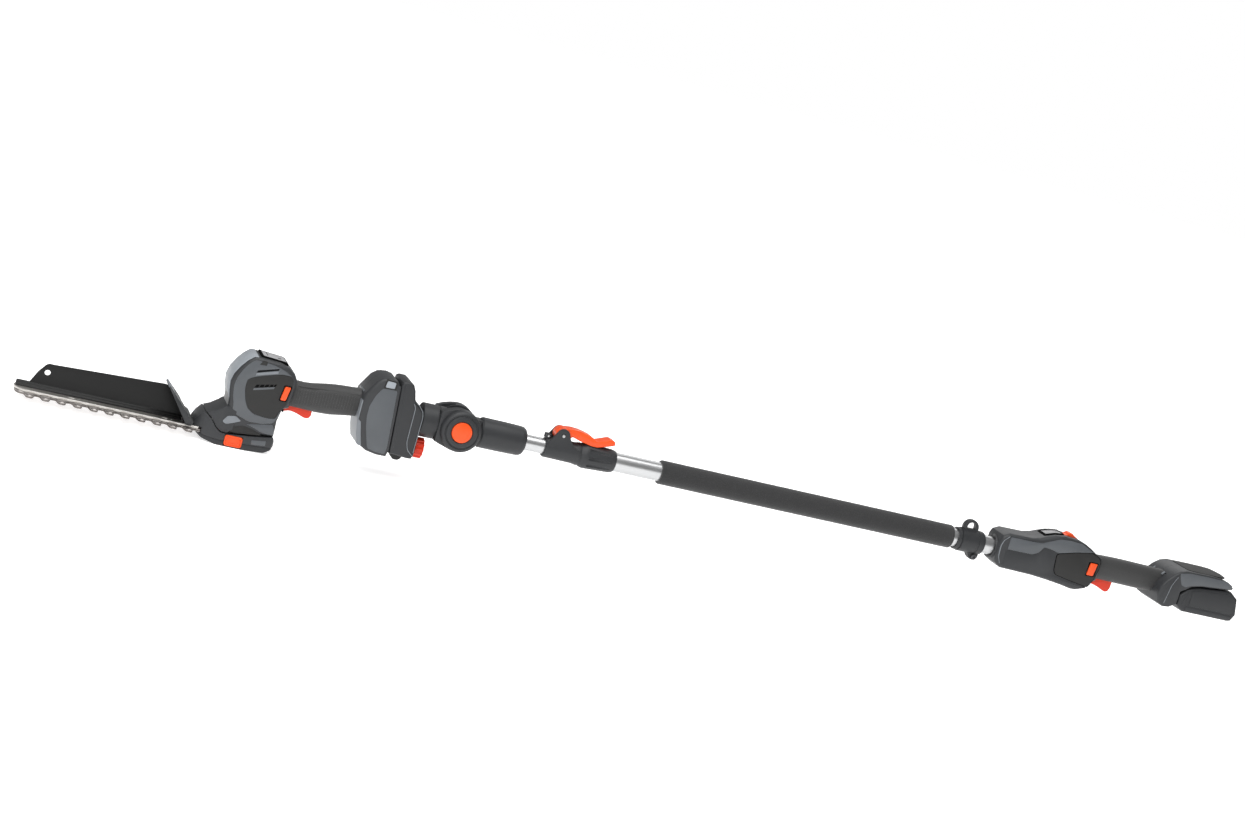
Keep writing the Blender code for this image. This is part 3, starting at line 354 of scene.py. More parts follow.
def soften(bm, width, segments=2, angle=35.0):
    """Round every edge that turns more than an angle."""
    limit = math.radians(angle)
    edges = [edge for edge in bm.edges if edge.is_manifold and edge.calc_face_angle() > limit]
    bmesh.ops.bevel(bm, geom=edges, offset=width, segments=segments, profile=0.5, affect="EDGES",
                    clamp_overlap=True, material=-1)
    return bm


def lofted(stations, corners=36, power=2.5):
    """Closed form through rounded sections, each given as x, low, high and half width."""
    bm = bmesh.new()
    rings = []
    for x, low, high, half in stations:
        ring = bmesh.ops.create_circle(bm, segments=corners, radius=1.0)["verts"]
        for vert in ring:
            across, up = vert.co.x, vert.co.y
            across = math.copysign(abs(across) ** (2.0 / power), across) * half
            up = math.copysign(abs(up) ** (2.0 / power), up) * (high - low) / 2.0
            vert.co = (x, across, (high + low) / 2.0 + up)
        rings.append([edge for edge in bm.edges if edge.verts[0] in ring
                      and edge.verts[1] in ring])
    for first, second in zip(rings, rings[1:]):
        bmesh.ops.bridge_loops(bm, edges=first + second)
    for ring in (rings[0], rings[-1]):
        bmesh.ops.contextual_create(bm, geom=ring)
    bmesh.ops.recalc_face_normals(bm, faces=bm.faces)
    return bm


def turned(profile, segments=64, closed=True):
    """Turn an (x, radius) profile about the pole's axis."""
    bm = bmesh.new()
    verts = [bm.verts.new((along, 0.0, radius)) for along, radius in profile]
    pairs = list(zip(verts, verts[1:]))
    if closed:
        pairs.append((verts[-1], verts[0]))
    edges = [bm.edges.new(pair) for pair in pairs if max(v.co.z for v in pair) > 0.0]
    bmesh.ops.spin(bm, geom=verts + edges, cent=(0, 0, 0), axis=(1, 0, 0), angle=math.tau,
                   steps=segments, use_merge=True)
    bmesh.ops.remove_doubles(bm, verts=bm.verts, dist=1e-4)
    bmesh.ops.recalc_face_normals(bm, faces=bm.faces)
    return bm


def turned_across(profile, segments, side=-1):
    """Turn a profile about the tilt axis, its start towards the middle."""
    bm = turned(profile, segments, False)
    bmesh.ops.rotate(bm, cent=(0, 0, 0), matrix=Matrix.Rotation(side * math.pi / 2, 3, "Z"),
                     verts=bm.verts)
    return bm


def arc(centre, radius, start, end, steps):
    """Points along an arc, angles in degrees."""
    angles = [math.radians(start + (end - start) * i / steps) for i in range(steps + 1)]
    return [(centre[0] + radius * math.cos(a), centre[1] + radius * math.sin(a)) for a in angles]


def round_corner(before, corner, after, radius, steps):
    """Points of a curve that takes the place of one corner."""
    corner = Vector(corner)
    back = Vector(before) - corner
    ahead = Vector(after) - corner
    reach = min(radius, back.length * 0.45, ahead.length * 0.45)
    first = corner + back.normalized() * reach
    last = corner + ahead.normalized() * reach
    shares = [j / steps for j in range(steps + 1)]
    return [tuple((1 - share) ** 2 * first + 2 * share * (1 - share) * corner + share ** 2 * last)
            for share in shares]


def rounded(outline, radius, steps=3):
    """Round the corners of an outline."""
    following = outline[1:] + outline[:1]
    points = []
    for i, corner in enumerate(outline):
        points += round_corner(outline[i - 1], corner, following[i], radius, steps)
    return points


def rounded_path(points, radius=3.0, steps=4):
    """Round the inner corners of an open path."""
    path = [points[0]]
    for before, corner, after in zip(points, points[1:], points[2:]):
        path += round_corner(before, corner, after, radius, steps)
    return path + [points[-1]]


def offset(outline, distance):
    """Move every side of an outline outwards."""
    count = len(outline)
    area = sum(outline[i - 1][0] * outline[i][1] - outline[i][0] * outline[i - 1][1]
               for i in range(count))
    side = -1.0 if area > 0 else 1.0
    points = []
    for i in range(count):
        before = (Vector(outline[i]) - Vector(outline[i - 1])).normalized()
        after = (Vector(outline[(i + 1) % count]) - Vector(outline[i])).normalized()
        first = Vector((-before.y, before.x)) * side
        second = Vector((-after.y, after.x)) * side
        reach = distance / max(0.45, 1.0 + first.dot(second))
        points.append(tuple(Vector(outline[i]) + (first + second) * reach))
    return points


def mirrored(outline):
    """Close a half outline by mirroring it across its first axis."""
    return outline + [(x, -y) for x, y in reversed(outline) if abs(y) > 1e-6]


def together(*parts):
    """Gather several closed shapes into one mesh."""
    whole = bmesh.new()
    for part in parts:
        mesh = bpy.data.meshes.new("part")
        part.to_mesh(mesh)
        part.free()
        whole.from_mesh(mesh)
        bpy.data.meshes.remove(mesh)
    return whole


def carve(bm, *tools, operation="DIFFERENCE"):
    """Cut shapes out of a shape, or keep what they share."""
    items = []
    for part in (bm, *tools):
        mesh = bpy.data.meshes.new("carve")
        part.to_mesh(mesh)
        part.free()
        item = bpy.data.objects.new("carve", mesh)
        bpy.context.scene.collection.objects.link(item)
        items.append(item)
    for tool in items[1:]:
        step = items[0].modifiers.new("carve", "BOOLEAN")
        step.operation = operation
        step.solver = "EXACT"
        step.object = tool
    graph = bpy.context.evaluated_depsgraph_get()
    graph.update()
    mesh = bpy.data.meshes.new_from_object(items[0].evaluated_get(graph))
    result = bmesh.new()
    result.from_mesh(mesh)
    bmesh.ops.remove_doubles(result, verts=result.verts, dist=1e-3)
    bmesh.ops.dissolve_degenerate(result, dist=1e-3, edges=result.edges)
    for item in items:
        bpy.data.meshes.remove(item.data)
    bpy.data.meshes.remove(mesh)
    return result


def other_side(bm):
    """Mirrored copy for the far side."""
    copy = bm.copy()
    bmesh.ops.scale(copy, vec=(1.0, -1.0, 1.0), verts=copy.verts)
    bmesh.ops.reverse_faces(copy, faces=copy.faces)
    return copy


def on_side(bm, side):
    """Leave a near shape as it is, or turn it into its far twin."""
    if side < 0:
        return bm
    far = other_side(bm)
    bm.free()
    return far


def add_piece(name, bm, body, finish, replaced=(), sharp=38.0):
    """Make a finished piece that rides on a body. Named for a node, it stands for that node."""
    bmesh.ops.transform(bm, matrix=WORLD, verts=bm.verts)
    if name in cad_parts:
        replaced = [name]
        name += "_form"
    mesh = bpy.data.meshes.new(name)
    bm.to_mesh(mesh)
    bm.free()
    mesh.shade_smooth()
    mesh.set_sharp_from_angle(angle=math.radians(sharp))
    item = bpy.data.objects.new(name, mesh)
    bpy.context.scene.collection.objects.link(item)
    mesh.materials.append(FINISHES[finish])
    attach(item, body)
    if replaced:
        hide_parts(*replaced)
    return item


def add_pair(name, bm, body, finish, sharp=38.0):
    """Make a near piece from a mesh and a mirrored far piece."""
    far = other_side(bm)
    add_piece(name + "_near", bm, body, finish, sharp=sharp)
    add_piece(name + "_far", far, body, finish, sharp=sharp)


def near_plate(outline, face, proud, chamfer=0.35, depth=1.2):
    """Thin plate on the near side, standing proud of a flat face."""
    return slab(outline, -face - proud + chamfer, -face + depth,
                low_crown=dome(chamfer, chamfer, 2))


def near_ridge(path, width, face, height):
    """Narrow raised line that follows a path on the near side."""
    left = []
    right = []
    for i, point in enumerate(path):
        before = Vector(path[max(i - 1, 0)])
        after = Vector(path[min(i + 1, len(path) - 1)])
        direction = (after - before).normalized()
        normal = Vector((-direction.y, direction.x)) * width / 2.0
        left.append(tuple(Vector(point) + normal))
        right.append(tuple(Vector(point) - normal))
    return near_plate(left + right[::-1], face, height, min(width * 0.3, height * 0.6))


def dress(node, finish):
    """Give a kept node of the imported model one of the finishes."""
    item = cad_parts[node]
    item.data.materials.clear()
    item.data.materials.append(FINISHES[finish])


# ---------------------------------------------------------------- blade and cassette

BAR_TOP = -66.5
BLADE_TIP_X = -552.0
CRANK_X = -285.0
SCREW_XS = (-477.0, -362.0)


def tooth_outline():
    """Plan outline of a blade with eleven teeth on each side."""
    pitch = 19.6
    points = [(BLADE_TIP_X + 1, 0.0), (BLADE_TIP_X + 2, 12.0), (BLADE_TIP_X + 6, 19.0)]
    for i in range(11):
        middle = -533.0 + i * pitch
        side = [(6.4, 20.5), (5.0, 29.5), (3.8, 33.2), (2.0, 35.0)]
        points += [(middle - x, y) for x, y in side] + [(middle + x, y) for x, y in reversed(side)]
        points.append((middle + pitch / 2, 19.2))
    points += [(-322.0, 20.5), (-318.0, 18.0), (-250.0, 18.0), (-250.0, 0.0)]
    return mirrored(points)


def make_blades(settings):
    """Two toothed blades, the bar over them and the screws that guide them."""
    grind = settings.tooth_grind / MM
    upper = BAR_TOP - 2.8
    for name, body, top in (("blade_upper", "top_blade", upper),
                            ("blade_lower", "bottom_blade", upper - 2.1)):
        blade = slab(tooth_outline(), top - 1.8, top - 1.0, "Z", high_crown=[(grind, 0.98)])
        rooms = [block((x - 10.0, x + 10.0), (-3.4, 3.4), (top - 3, top + 1)) for x in SCREW_XS]
        rooms.append(block((CRANK_X - 17.5, CRANK_X + 17.5), (-13.5, 13.5), (top - 3, top + 1)))
        add_piece(name, carve(blade, *rooms), body, "blade_steel", sharp=20.0)
    half = [(BLADE_TIP_X, 0.0), (BLADE_TIP_X + 0.7, 6.0), (BLADE_TIP_X + 3.0, 12.0),
            (BLADE_TIP_X + 7.0, 17.0), (BLADE_TIP_X + 13.0, 20.5), (BLADE_TIP_X + 20.0, 22.0),
            (-325.0, 22.0), (-320.0, 17.0), (-309.0, 16.0), (-309.0, 0.0)]
    bar = slab(mirrored(half), BAR_TOP - 2.5, BAR_TOP - 0.5, "Z", high_crown=dome(0.5, 0.5, 3))
    tools = []
    dots = []
    for x in SCREW_XS:
        tools.append(rod("Z", (x, 0.0), 3.0, BAR_TOP - 4, BAR_TOP + 1))
        for side in (-1, 1):
            tools.append(block((x - 9.0, x - 1.0), sorted((side * 11.5, side * 14.0)),
                               (BAR_TOP - 0.7, BAR_TOP + 1), 0.8))
            dots.append(rod("Z", (x + 4.0, side * 12.8), 1.8, BAR_TOP - 1.0, BAR_TOP + 0.45, 24,
                            0.3))
    add_piece("support_bar", carve(bar, *tools), "cassette", "bar_steel",
              sharp=30.0)
    add_piece("bar_rivets", together(*dots), "cassette", "machine_steel")
    for node, x in (("blade_screw_front", SCREW_XS[0]), ("blade_screw_rear", SCREW_XS[1])):
        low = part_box(node)[0].z / MM - TILT_HEIGHT
        shank = rod("Z", (x, 0.0), 2.7, low + 1.5, BAR_TOP + 0.5, 32, 0.3)
        head = rod("Z", (x, 0.0), 5.0, low, low + 1.7, 40, 0.5)
        socket = rod("Z", (x, 0.0), 2.4, low - 1, low + 1.1, 6)
        screw = together(carve(head, socket), shank)
        add_piece(node, screw, "cassette", "machine_steel")


def make_cuttings_plate():
    """Upright plate on the bar, with its stepped foot and hanging hole."""
    outline = [(-545, -62.5), (-535.5, -61.8), (-527, -45)] + arc((-513.5, -42), 9.0, 150, 100, 8)
    outline += [(-512, -33.4), (-372.6, -26.6), (-370.0, -28.0), (-345.2, -61.3), (-345.0, -65.5),
                (-548, -65.5)]
    sheet = pillow(rounded(outline, 1.6), 0.9, 0.6, 0.6, 3)
    hole = rod("Y", (-516, -44.5), 3.6, -4, 4, 40)
    foot = slab(foot_profile(), -549, -346.2, "X", dome(1.2, 1.2, 2), dome(1.2, 1.2, 2))
    rooms = [rod("Z", (x, 0.0), 3.4, BAR_TOP - 1, BAR_TOP + 1.5, 24) for x in SCREW_XS]
    plate = together(carve(sheet, hole), carve(foot, *rooms))
    add_piece("cuttings_plate", plate, "cassette", "plate", sharp=42.0)


def foot_profile():
    """Stepped section of the plate's foot, across and up."""
    half = [(1.9, -60.0), (2.5, -61.6), (3.3, -62.0), (3.9, -63.9), (4.6, -64.4), (4.9, -66.15)]
    return [(-y, z) for y, z in reversed(half)] + half


def make_blade_guard():
    """Slanted deflector between the blade and the hand, with a lip painted pale as a highlight and
    a near-black liner of painted shade on its face.
    """
    outline = [(-371.5, -25.2), (-369.8, -24.3), (-350, -43.8), (-341, -54.8), (-334.3, -58.3),
               (-333.6, -64.3), (-336.8, -66.1), (-342, -66.1), (-345.2, -60.4)]
    guard = slab(rounded(outline, 1.2), -33.0, 33.0)
    front = rounded([(-30, -68), (30, -68), (33, -50), (31, -34), (21, -22), (-21, -22),
                     (-31, -34), (-33, -50)], 9.0, 6)
    shape = slab(front, -380, -330, "X")
    # The liner is a near-black sheet on the guard's face: painted shade where that face lies in
    # shadow.
    liner = carve(slab([(-371.7, -26.4), (-346.0, -60.8), (-345.0, -60.4), (-370.6, -26.0)], -31.0,
                       31.0), shape.copy(), operation="INTERSECT")
    guard = carve(guard, shape, operation="INTERSECT")
    guard = carve(guard, block((-350, -344.8), (-8, 8), (-70, -61.5)))
    add_piece("blade_guard", guard, "cassette", "coupling")
    add_piece("guard_shade_liner", liner, "cassette", "seam")
    # The lip uses the lighter highlight finish: a painted highlight along its edge.
    lip = slab([(-371.9, -25.6), (-370.0, -23.6), (-362.5, -31.4), (-364.0, -32.6)], -20.0, 20.0)
    soften(lip, 0.3, 2)
    ribs = [slab([(-366.6, -30.4), (-344.5, -53.6), (-341.5, -57.6), (-339.6, -62.0),
                  (-338.2, -61.0), (-340.4, -55.4), (-343.2, -51.4), (-365.6, -29.2)], y - 0.8,
                 y + 0.8) for y in (-24, -12, 0, 12, 24)]
    add_piece("guard_lip", lip, "cassette", "bright_facet")
    add_piece("guard_ribs", together(*ribs), "cassette", "coupling")


COVER_OUTLINE = [(-333, -69), (-332, -60), (-328, -53), (-321, -45.5), (-312, -52.5),
                 (-305, -61.5), (-298, -66.2), (-290, -66.7), (-262, -63.7), (-231.5, -59.3),
                 (-229, -66), (-229.5, -72.6), (-260, -74.4), (-300, -75.8), (-318, -74.6)]
SOLE_OUTLINE = [(-332, -70), (-318, -75), (-300, -76.2), (-260, -74.8), (-230, -73.1),
                (-232, -76.5), (-240, -80.8), (-264, -82.5), (-302, -82.5), (-320, -78.5)]


def cassette_plan(half):
    """Plan of the cassette: a narrow nose that widens to the head."""
    return rounded(mirrored([(-334, 0), (-334, half - 13), (-326, half - 8), (-313.5, half - 3),
                             (-299.5, half), (-240, half), (-231, half - 3), (-228, half - 9),
                             (-228, 0)]), 6.0, 4)


def make_cassette():
    """Cover and sole of the cassette, and the tray-shaped release buttons."""
    def hollows():
        pocket = carve(block((-291.6, -268.4), (-40, 40), (-81.2, -66.8), 1.6),
                       block((-295, -264), (-20, 20), (-84, -60)))
        return [block((-340, -309.5), (-23, 23), (-73.9, BAR_TOP + 0.4)), pocket]
    cover = slab(rounded(COVER_OUTLINE, 2.0), -29, 29)
    cover = carve(cover, slab(cassette_plan(29.0), -90, -30, "Z"), operation="INTERSECT")
    soften(cover, 1.6, 3, 55.0)
    room = block((-340, -243.5), (-18.6, 18.6), (-73.9, BAR_TOP + 0.4))
    cover = carve(cover, room, rod("Z", (CRANK_X, 0.0), 12.0, -70, -50), *hollows())
    add_piece("cassette_cover", cover, "cassette", "housing")
    sole = slab(rounded(SOLE_OUTLINE, 2.5), -29, 29)
    sole = carve(sole, slab(cassette_plan(28.6), -90, -30, "Z"), operation="INTERSECT")
    soften(sole, 1.2, 3, 55.0)
    sole = carve(sole, *hollows())
    add_piece("cassette_sole", sole, "cassette", "coupling", ["cassette_plate"])
    label = near_plate([(-258, -67.6), (-240, -64.9), (-240, -71.4), (-257.4, -73.2)], 29.0, 0.35,
                       0.3)
    far = other_side(label)
    add_piece("cassette_facets", together(label, far), "cassette", "facet")
    for side, name in SIDES:
        button = slab(rounded([(-291.2, -80.8), (-268.8, -80.8), (-268.8, -67.2), (-291.2, -67.2)],
                              3.6, 5), -29.7, -23.2, "Y",
                      dome(0.7, 0.8, 3) + [(0.9, 0.0), (0.4, -0.9)])
        add_piece("release_button_" + name, on_side(button, side), "release_" + name,
                  "accent")
        tray = carve(block((-288.4, -271.4), (-30.2, -29.0), (-79.0, -71.4), 0.5),
                     block((-286.4, -273.4), (-31, -28), (-76.6, -70.0), 0.2))
        add_piece("release_tray_" + name, on_side(tray, side), "release_" + name,
                  "accent")


# ---------------------------------------------------------------- trimmer

HEAD_OUTLINE = [(-271, 36.5), (-279, 36), (-286, 30), (-293, 21), (-299, 10), (-301.5, 0),
                (-300, -12), (-297.2, -24), (-297, -34), (-301, -42), (-302.5, -52), (-298.5, -61),
                (-290, -66.2), (-262, -63.2), (-231.5, -58.8), (-231.5, -48), (-232, -38),
                (-229, -22), (-222, -19), (-219, 16), (-224.5, 25), (-233, 31.5), (-245, 35)]
NECK_OUTLINE = [(-297, -31.5), (-302, -36), (-312, -42.5), (-320.2, -45.3), (-311.6, -52),
                (-304.6, -61), (-297.8, -65.4), (-290, -65.8), (-284, -60), (-284, -36)]
HANDLE_STATIONS = [(-234, -19.5, 11.0, 13.5), (-226, -20.0, 14.6, 15.0), (-216, -20.2, 13.8, 15.6),
                   (-206, -20.3, 13.4, 15.8), (-196, -20.6, 14.3, 16.0), (-186, -20.8, 16.2, 16.2),
                   (-176, -20.4, 18.0, 16.2), (-166, -19.8, 19.3, 16.2), (-156, -18.0, 20.2, 15.8),
                   (-146, -16.4, 20.8, 15.4), (-136, -14.8, 21.6, 15.2), (-128, -14.3, 22.4, 15.4),
                   (-118, -14.2, 23.2, 15.8)]
FOOT_OUTLINE = [(-134, 20), (-127.5, 31), (-122, 40), (-115, 45.5), (-104, 47.5), (-96.5, 46),
                (-92.1, 41), (-91.5, 30), (-85.6, -38), (-85.2, -47), (-86.5, -53), (-100, -53),
                (-114, -50.5), (-122, -46), (-126, -32), (-130, -16), (-134, -13)]
PANEL_OUTLINE = [(-281, 6), (-281, -6), (-277, -20), (-272, -29), (-263, -34.5), (-247, -36),
                 (-236, -35), (-233.5, -26), (-226.5, -16), (-224.5, 2), (-224.5, 16), (-227, 21),
                 (-240, 21.5), (-262, 15), (-274, 10.5)]
LOCK_BAR_FRONT = (-236.0, -226.0, -10.0, 8.0)
TRIGGER_OUTLINE = [(-227.5, -10), (-196, -10.5), (-190, -13), (-188.5, -18), (-188.7, -27),
                   (-192, -30.6), (-197, -30.6), (-207, -27), (-216, -25.2), (-222, -26.5),
                   (-227.5, -29.3)]


def slanted_block(x_range, y_range, z_range, bevel=0.0):
    """Block measured from the foot's slanted face."""
    bm = block(x_range, y_range, z_range, bevel)
    place = Matrix.Translation((-85.0, 0.0, -46.0)) @ Matrix.Rotation(-math.radians(4.3), 4, "Y")
    bmesh.ops.transform(bm, matrix=place, verts=bm.verts)
    return bm


def trimmer_hollows():
    """Rooms in the head and foot that show when the tool is taken apart."""
    x0, x1, z0, z1 = LOCK_BAR_FRONT
    return [slab(offset(HEAD_OUTLINE, -3.5), -22.0, 22.0),
            rod("Z", (CRANK_X, 0.0), 10.5, -80, -40),
            slanted_block((-7.0, 4.0), (-10.4, 10.4), (-20.0, 71.0)),
            slanted_block((-13.0, -6.6), (-16.4, 16.4), (-20.0, 71.0)),
            block((-229.0, -187.0), (-7.6, 7.6), (-32.0, -9.0)),
            block((x0 - 0.4, x1 + 0.4), (-40, 40), (z0 - 0.4, z1 + 0.4)),
            slab([(-269.8, 40), (-234.6, 38), (-234.6, 31.2), (-269.8, 34)], -18.8, 18.8)]


def make_trimmer_shells():
    """Head, handle and foot of the trimmer, in two halves."""
    head = slab(HEAD_OUTLINE, -20.5, -0.15, "Y", dome(5.5, 6.0, 5))
    foot = slab(FOOT_OUTLINE, -23.0, -0.15, "Y", dome(4.5, 5.0, 5))
    shell = together(carve(head, *trimmer_hollows(), *vent_rooms()),
                     carve(foot, *trimmer_hollows()))
    add_pair("trimmer_shell", shell, "trimmer", "housing", sharp=34.0)
    neck = slab(NECK_OUTLINE, -27.0, 27.0)
    neck = carve(neck, slab(cassette_plan(27.4), -90, -20, "Z"), operation="INTERSECT")
    neck = carve(neck, rod("Z", (CRANK_X, 0.0), 10.5, -80, -30))
    soften(neck, 1.0, 3, 60.0)
    add_piece("head_neck", neck, "trimmer", "housing", sharp=34.0)


def vent_rooms():
    """Recess for the upper vent in each side of the head."""
    return [slab([(-273, 16.5), (-246, 25.0), (-245.5, 29.0), (-271.5, 20.8)], -40, -22.5)]


def make_head_facets():
    """Smooth facets painted lighter as a sheen, dark insert and vents on the sides of the head,
    with a painted highlight on the upper vent's lip and painted shade behind the lower vent.
    """
    side = [(-276.5, 32.8), (-283.5, 26.5), (-290, 16.5), (-294.2, 6), (-295.8, -4), (-294, -17),
            (-290.8, -27), (-290.5, -34), (-284, -40.2), (-268, -45.5), (-250, -45), (-237, -41.5),
            (-233.5, -33), (-230, -21), (-226.5, -13), (-224.3, 14), (-228, 21.6), (-238, 26.8),
            (-252, 30.8)]
    facet = near_plate(rounded(side, 3.0), 26.5, 0.45, 0.4)
    hole = slab(offset(rounded(PANEL_OUTLINE, 3.0), 0.8), -60, -20)
    slot = slab([(-272.6, 17.2), (-246.2, 25.4), (-245.8, 28.2), (-271.4, 20.4)], -60, -20)
    add_pair("head_facet", carve(facet, hole, slot), "trimmer", "facet")
    corner = near_plate(rounded([(-271.5, 28.0), (-262.5, 28.4), (-262.0, 33.6), (-267.0, 34.2)],
                                1.0), 26.9, 0.3, 0.2)
    add_pair("head_corner", corner, "trimmer", "insert")
    # The upper vent's lip uses the highlight finish: a painted highlight on its slanted face.
    lip = slab([(-273.2, 13.2), (-246.0, 21.6), (-245.6, 25.2), (-272.2, 16.8)], -27.1, -23.0, "Y",
               [(0.5, 0.3)])
    add_pair("vent_lip", lip, "trimmer", "bright_facet")
    panel = near_plate(rounded(PANEL_OUTLINE, 3.0), 26.6, 0.5, 0.5, 2.0)
    x0, x1, z0, z1 = LOCK_BAR_FRONT
    rooms = [slab(offset([(x0, z0), (x1 - 3.0, z0), (x1, z1), (x0 + 2.6, z1)], 1.35), -40, -20),
             slab([(-271.2, -2.2), (-245.6, 4.6), (-243.6, 8.2), (-268.8, 2.4)], -40, -20)]
    add_pair("vent_panel", carve(panel, *rooms), "trimmer", "insert")
    # Near-black sheet behind the lower vent slot: painted shade inside the slot.
    backing = slab([(-272.4, -3.4), (-244.2, 3.6), (-242.6, 8.8), (-269.6, 3.4)], -26.75, -25.6)
    add_pair("vent_shade_backing", backing, "trimmer", "seam")
    low_lip = near_plate([(-271.6, -5.4), (-247.0, 1.4), (-245.8, 4.4), (-271.3, -2.4)], 26.9,
                         0.35, 0.25)
    add_pair("lower_vent_lip", low_lip, "trimmer", "facet")
    blades = [slab([(x, -1.6 + (x + 271) * 0.27), (x + 1.1, -1.4 + (x + 271) * 0.27),
                    (x + 2.4, 2.6 + (x + 271) * 0.25), (x + 1.3, 2.4 + (x + 271) * 0.25)], -26.95,
                   -26.2) for x in (-266.0, -260.0, -254.0, -249.0)]
    add_pair("vent_louvres", together(*blades), "trimmer", "insert")


def make_head_front():
    """Front strip of the head painted pale as a highlight, and the sculpted neck over the cassette
    with a painted glint, a facet sheen and a dark sweep of painted shade.
    """
    front = [(-273.5, 36.9), (-279.3, 36.4), (-286.4, 30.3), (-293.4, 21.2), (-299.4, 10.1),
             (-301.9, 0), (-300.4, -12), (-296.9, -24), (-296.4, -31), (-293.9, -31.5),
             (-294.6, -24.5), (-297.8, -12), (-299.2, 0), (-296.9, 9.3), (-291.2, 19.8),
             (-284.6, 28.6), (-278.4, 34.2), (-273.3, 35.0)]
    # The strip is the shell's plastic painted much lighter: a painted highlight along the front of
    # the head.
    strip = slab(rounded(front, 1.0), -22.3, -0.1, "Y", [(0.5, 0.7)])
    add_pair("head_front", strip, "trimmer", "pale_facet")
    # A painted highlight on the neck.
    glint = near_plate(rounded([(-299, -52), (-294, -44), (-284, -42), (-276, -47), (-286, -51.5),
                                (-294, -54.5)], 2.0), 27.4, 0.35, 0.3, 2.5)
    add_pair("neck_glint", glint, "trimmer", "bright_facet")
    skirt = near_plate(rounded([(-270, -49.5), (-254, -46.5), (-236.5, -43.2), (-233.2, -50),
                                (-233.2, -57), (-248, -56.2), (-258, -52.2)], 2.5), 26.5, 0.5, 0.4)
    add_pair("skirt_facet", skirt, "trimmer", "facet")
    # The dark sweep is painted shade along a curve of the sculpted skirt.
    sweep = near_plate(rounded([(-292, -62.6), (-284, -55.2), (-272, -52.2), (-259, -54.2),
                                (-249, -58.2), (-247.5, -60.0), (-262, -61.8), (-280, -63.8)],
                               3.0), 26.5, 0.35, 0.3)
    add_pair("skirt_shade_sweep", sweep, "trimmer", "insert")


def make_handle_grip(settings):
    """Rubber grip over the front handle, with its ribs."""
    grip = carve(lofted(HANDLE_STATIONS), block((-229.0, -187.0), (-7.6, 7.6), (-40.0, -5.0)))
    add_piece("handle_grip", grip, "trimmer", "grip", sharp=34.0)
    pitch = settings.rib_pitch / MM
    proud = 0.45
    swollen = [(x, low - proud, high + proud, half + proud) for x, low, high,
               half in HANDLE_STATIONS]
    bars = []
    for i in range(int(78.0 / pitch)):
        x = -214.0 + i * pitch
        lift = i * pitch * 0.085
        bars.append(block((x, x + pitch * 0.5), (-18.0, -11.0), (-13.0 + lift, 6.0 + lift)))
    ribs = carve(lofted(swollen), together(*bars), operation="INTERSECT")
    add_pair("handle_ribs", ribs, "trimmer", "grip")
    strip = near_plate([(-214, 8.6), (-181, 11.6), (-150, 13.6), (-132, 14.6), (-132, 15.8),
                        (-150, 15.0), (-181, 13.2), (-214, 10.2)], 12.6, 0.6, 0.3)
    add_pair("handle_line", strip, "trimmer", "grip")


def make_foot_facets():
    """Facets with a painted sheen, and a clip and front ledge painted lighter as highlights, of
    the trimmer's battery foot.
    """
    label = [(-119.5, 22), (-113, 33.0), (-98.5, 34.5), (-94.2, 33), (-88.6, -39), (-89.4, -49.5),
             (-103, -49), (-113.4, -46.4), (-117.4, -34), (-121.6, -20), (-124.2, -6), (-124.0, 8)]
    add_pair("foot_facet", near_plate(rounded(label, 2.5), 28.0, 0.35, 0.3), "trimmer",
             "facet")
    # The ledge uses the highlight finish: its faces painted lighter as a highlight.
    ledge = slab(rounded([(-134.6, 13), (-134.6, -12), (-131.4, -30), (-127.2, -45),
                          (-121.6, -46.2), (-108.0, -49.0), (-108.0, 10.0), (-126.6, 13.4)], 2.0),
                 -24.4, -0.1, "Y", dome(1.2, 1.6, 3))
    ledge = carve(ledge, *trimmer_hollows())
    add_pair("foot_ledge", ledge, "trimmer", "bright_facet")
    border = near_plate(rounded([(-112.4, 33.4), (-96.2, 33.8), (-95.4, 45.2), (-110.8, 46.0)],
                                1.6), 28.0, 0.6, 0.4, 4.0)
    add_pair("clip_border", border, "trimmer", "insert")
    # The clip uses the strongest highlight finish: a painted highlight over its face.
    clip = near_plate(rounded([(-110.6, 35.2), (-98.6, 35.6), (-98.2, 43.4), (-109.4, 43.9)], 1.4),
                      28.6, 0.8, 0.6, 4.0)
    add_pair("foot_clip", clip, "trimmer", "pale_facet")
    edge = near_plate([(-95.2, 41.0), (-91.0, 40.0), (-85.0, -46.0), (-88.8, -48.0)], 27.4, 0.4,
                      0.4, 3.0)
    add_pair("foot_edge", edge, "trimmer", "housing")
    tab = block((-133.6, -126.0), (-15.9, 15.9), (19.6, 23.6), 1.2)
    add_piece("handle_tab", tab, "trimmer", "facet")


def add_lock_bar(place, ranges, slants, half, ring_half, body):
    """Slanted lock button that runs through a housing, with a near-black ring of painted shade
    around it.
    """
    x0, x1, z0, z1 = ranges
    slanted = [(x0, z0), (x1 - slants[0], z0), (x1, z1), (x0 + slants[1], z1)]
    add_piece("lock_bar_" + place, pillow(rounded(slanted, 1.8, 4), half, 0.9, 0.9, 3),
              place + "_lock", "accent")
    # The ring is painted shade: the gap around the button drawn near-black.
    ring = carve(slab(rounded(offset(slanted, 1.3), 2.2, 4), -ring_half[0], ring_half[0]),
                 slab(offset(slanted, 0.35), -40.0, 40.0),
                 block((x0 - 6, x1 + 6), (-ring_half[1], ring_half[1]), (z0 - 6, z1 + 6)))
    add_piece("lock_shade_ring_" + place, ring, body, "seam")


def add_trigger(place, outline):
    """Trigger with rounded sides."""
    trigger = pillow(rounded(outline, 3.0, 5), 4.6, 2.2, 2.4, 4)
    add_piece("trigger_" + place, trigger, place + "_trigger", "trigger", sharp=40.0)


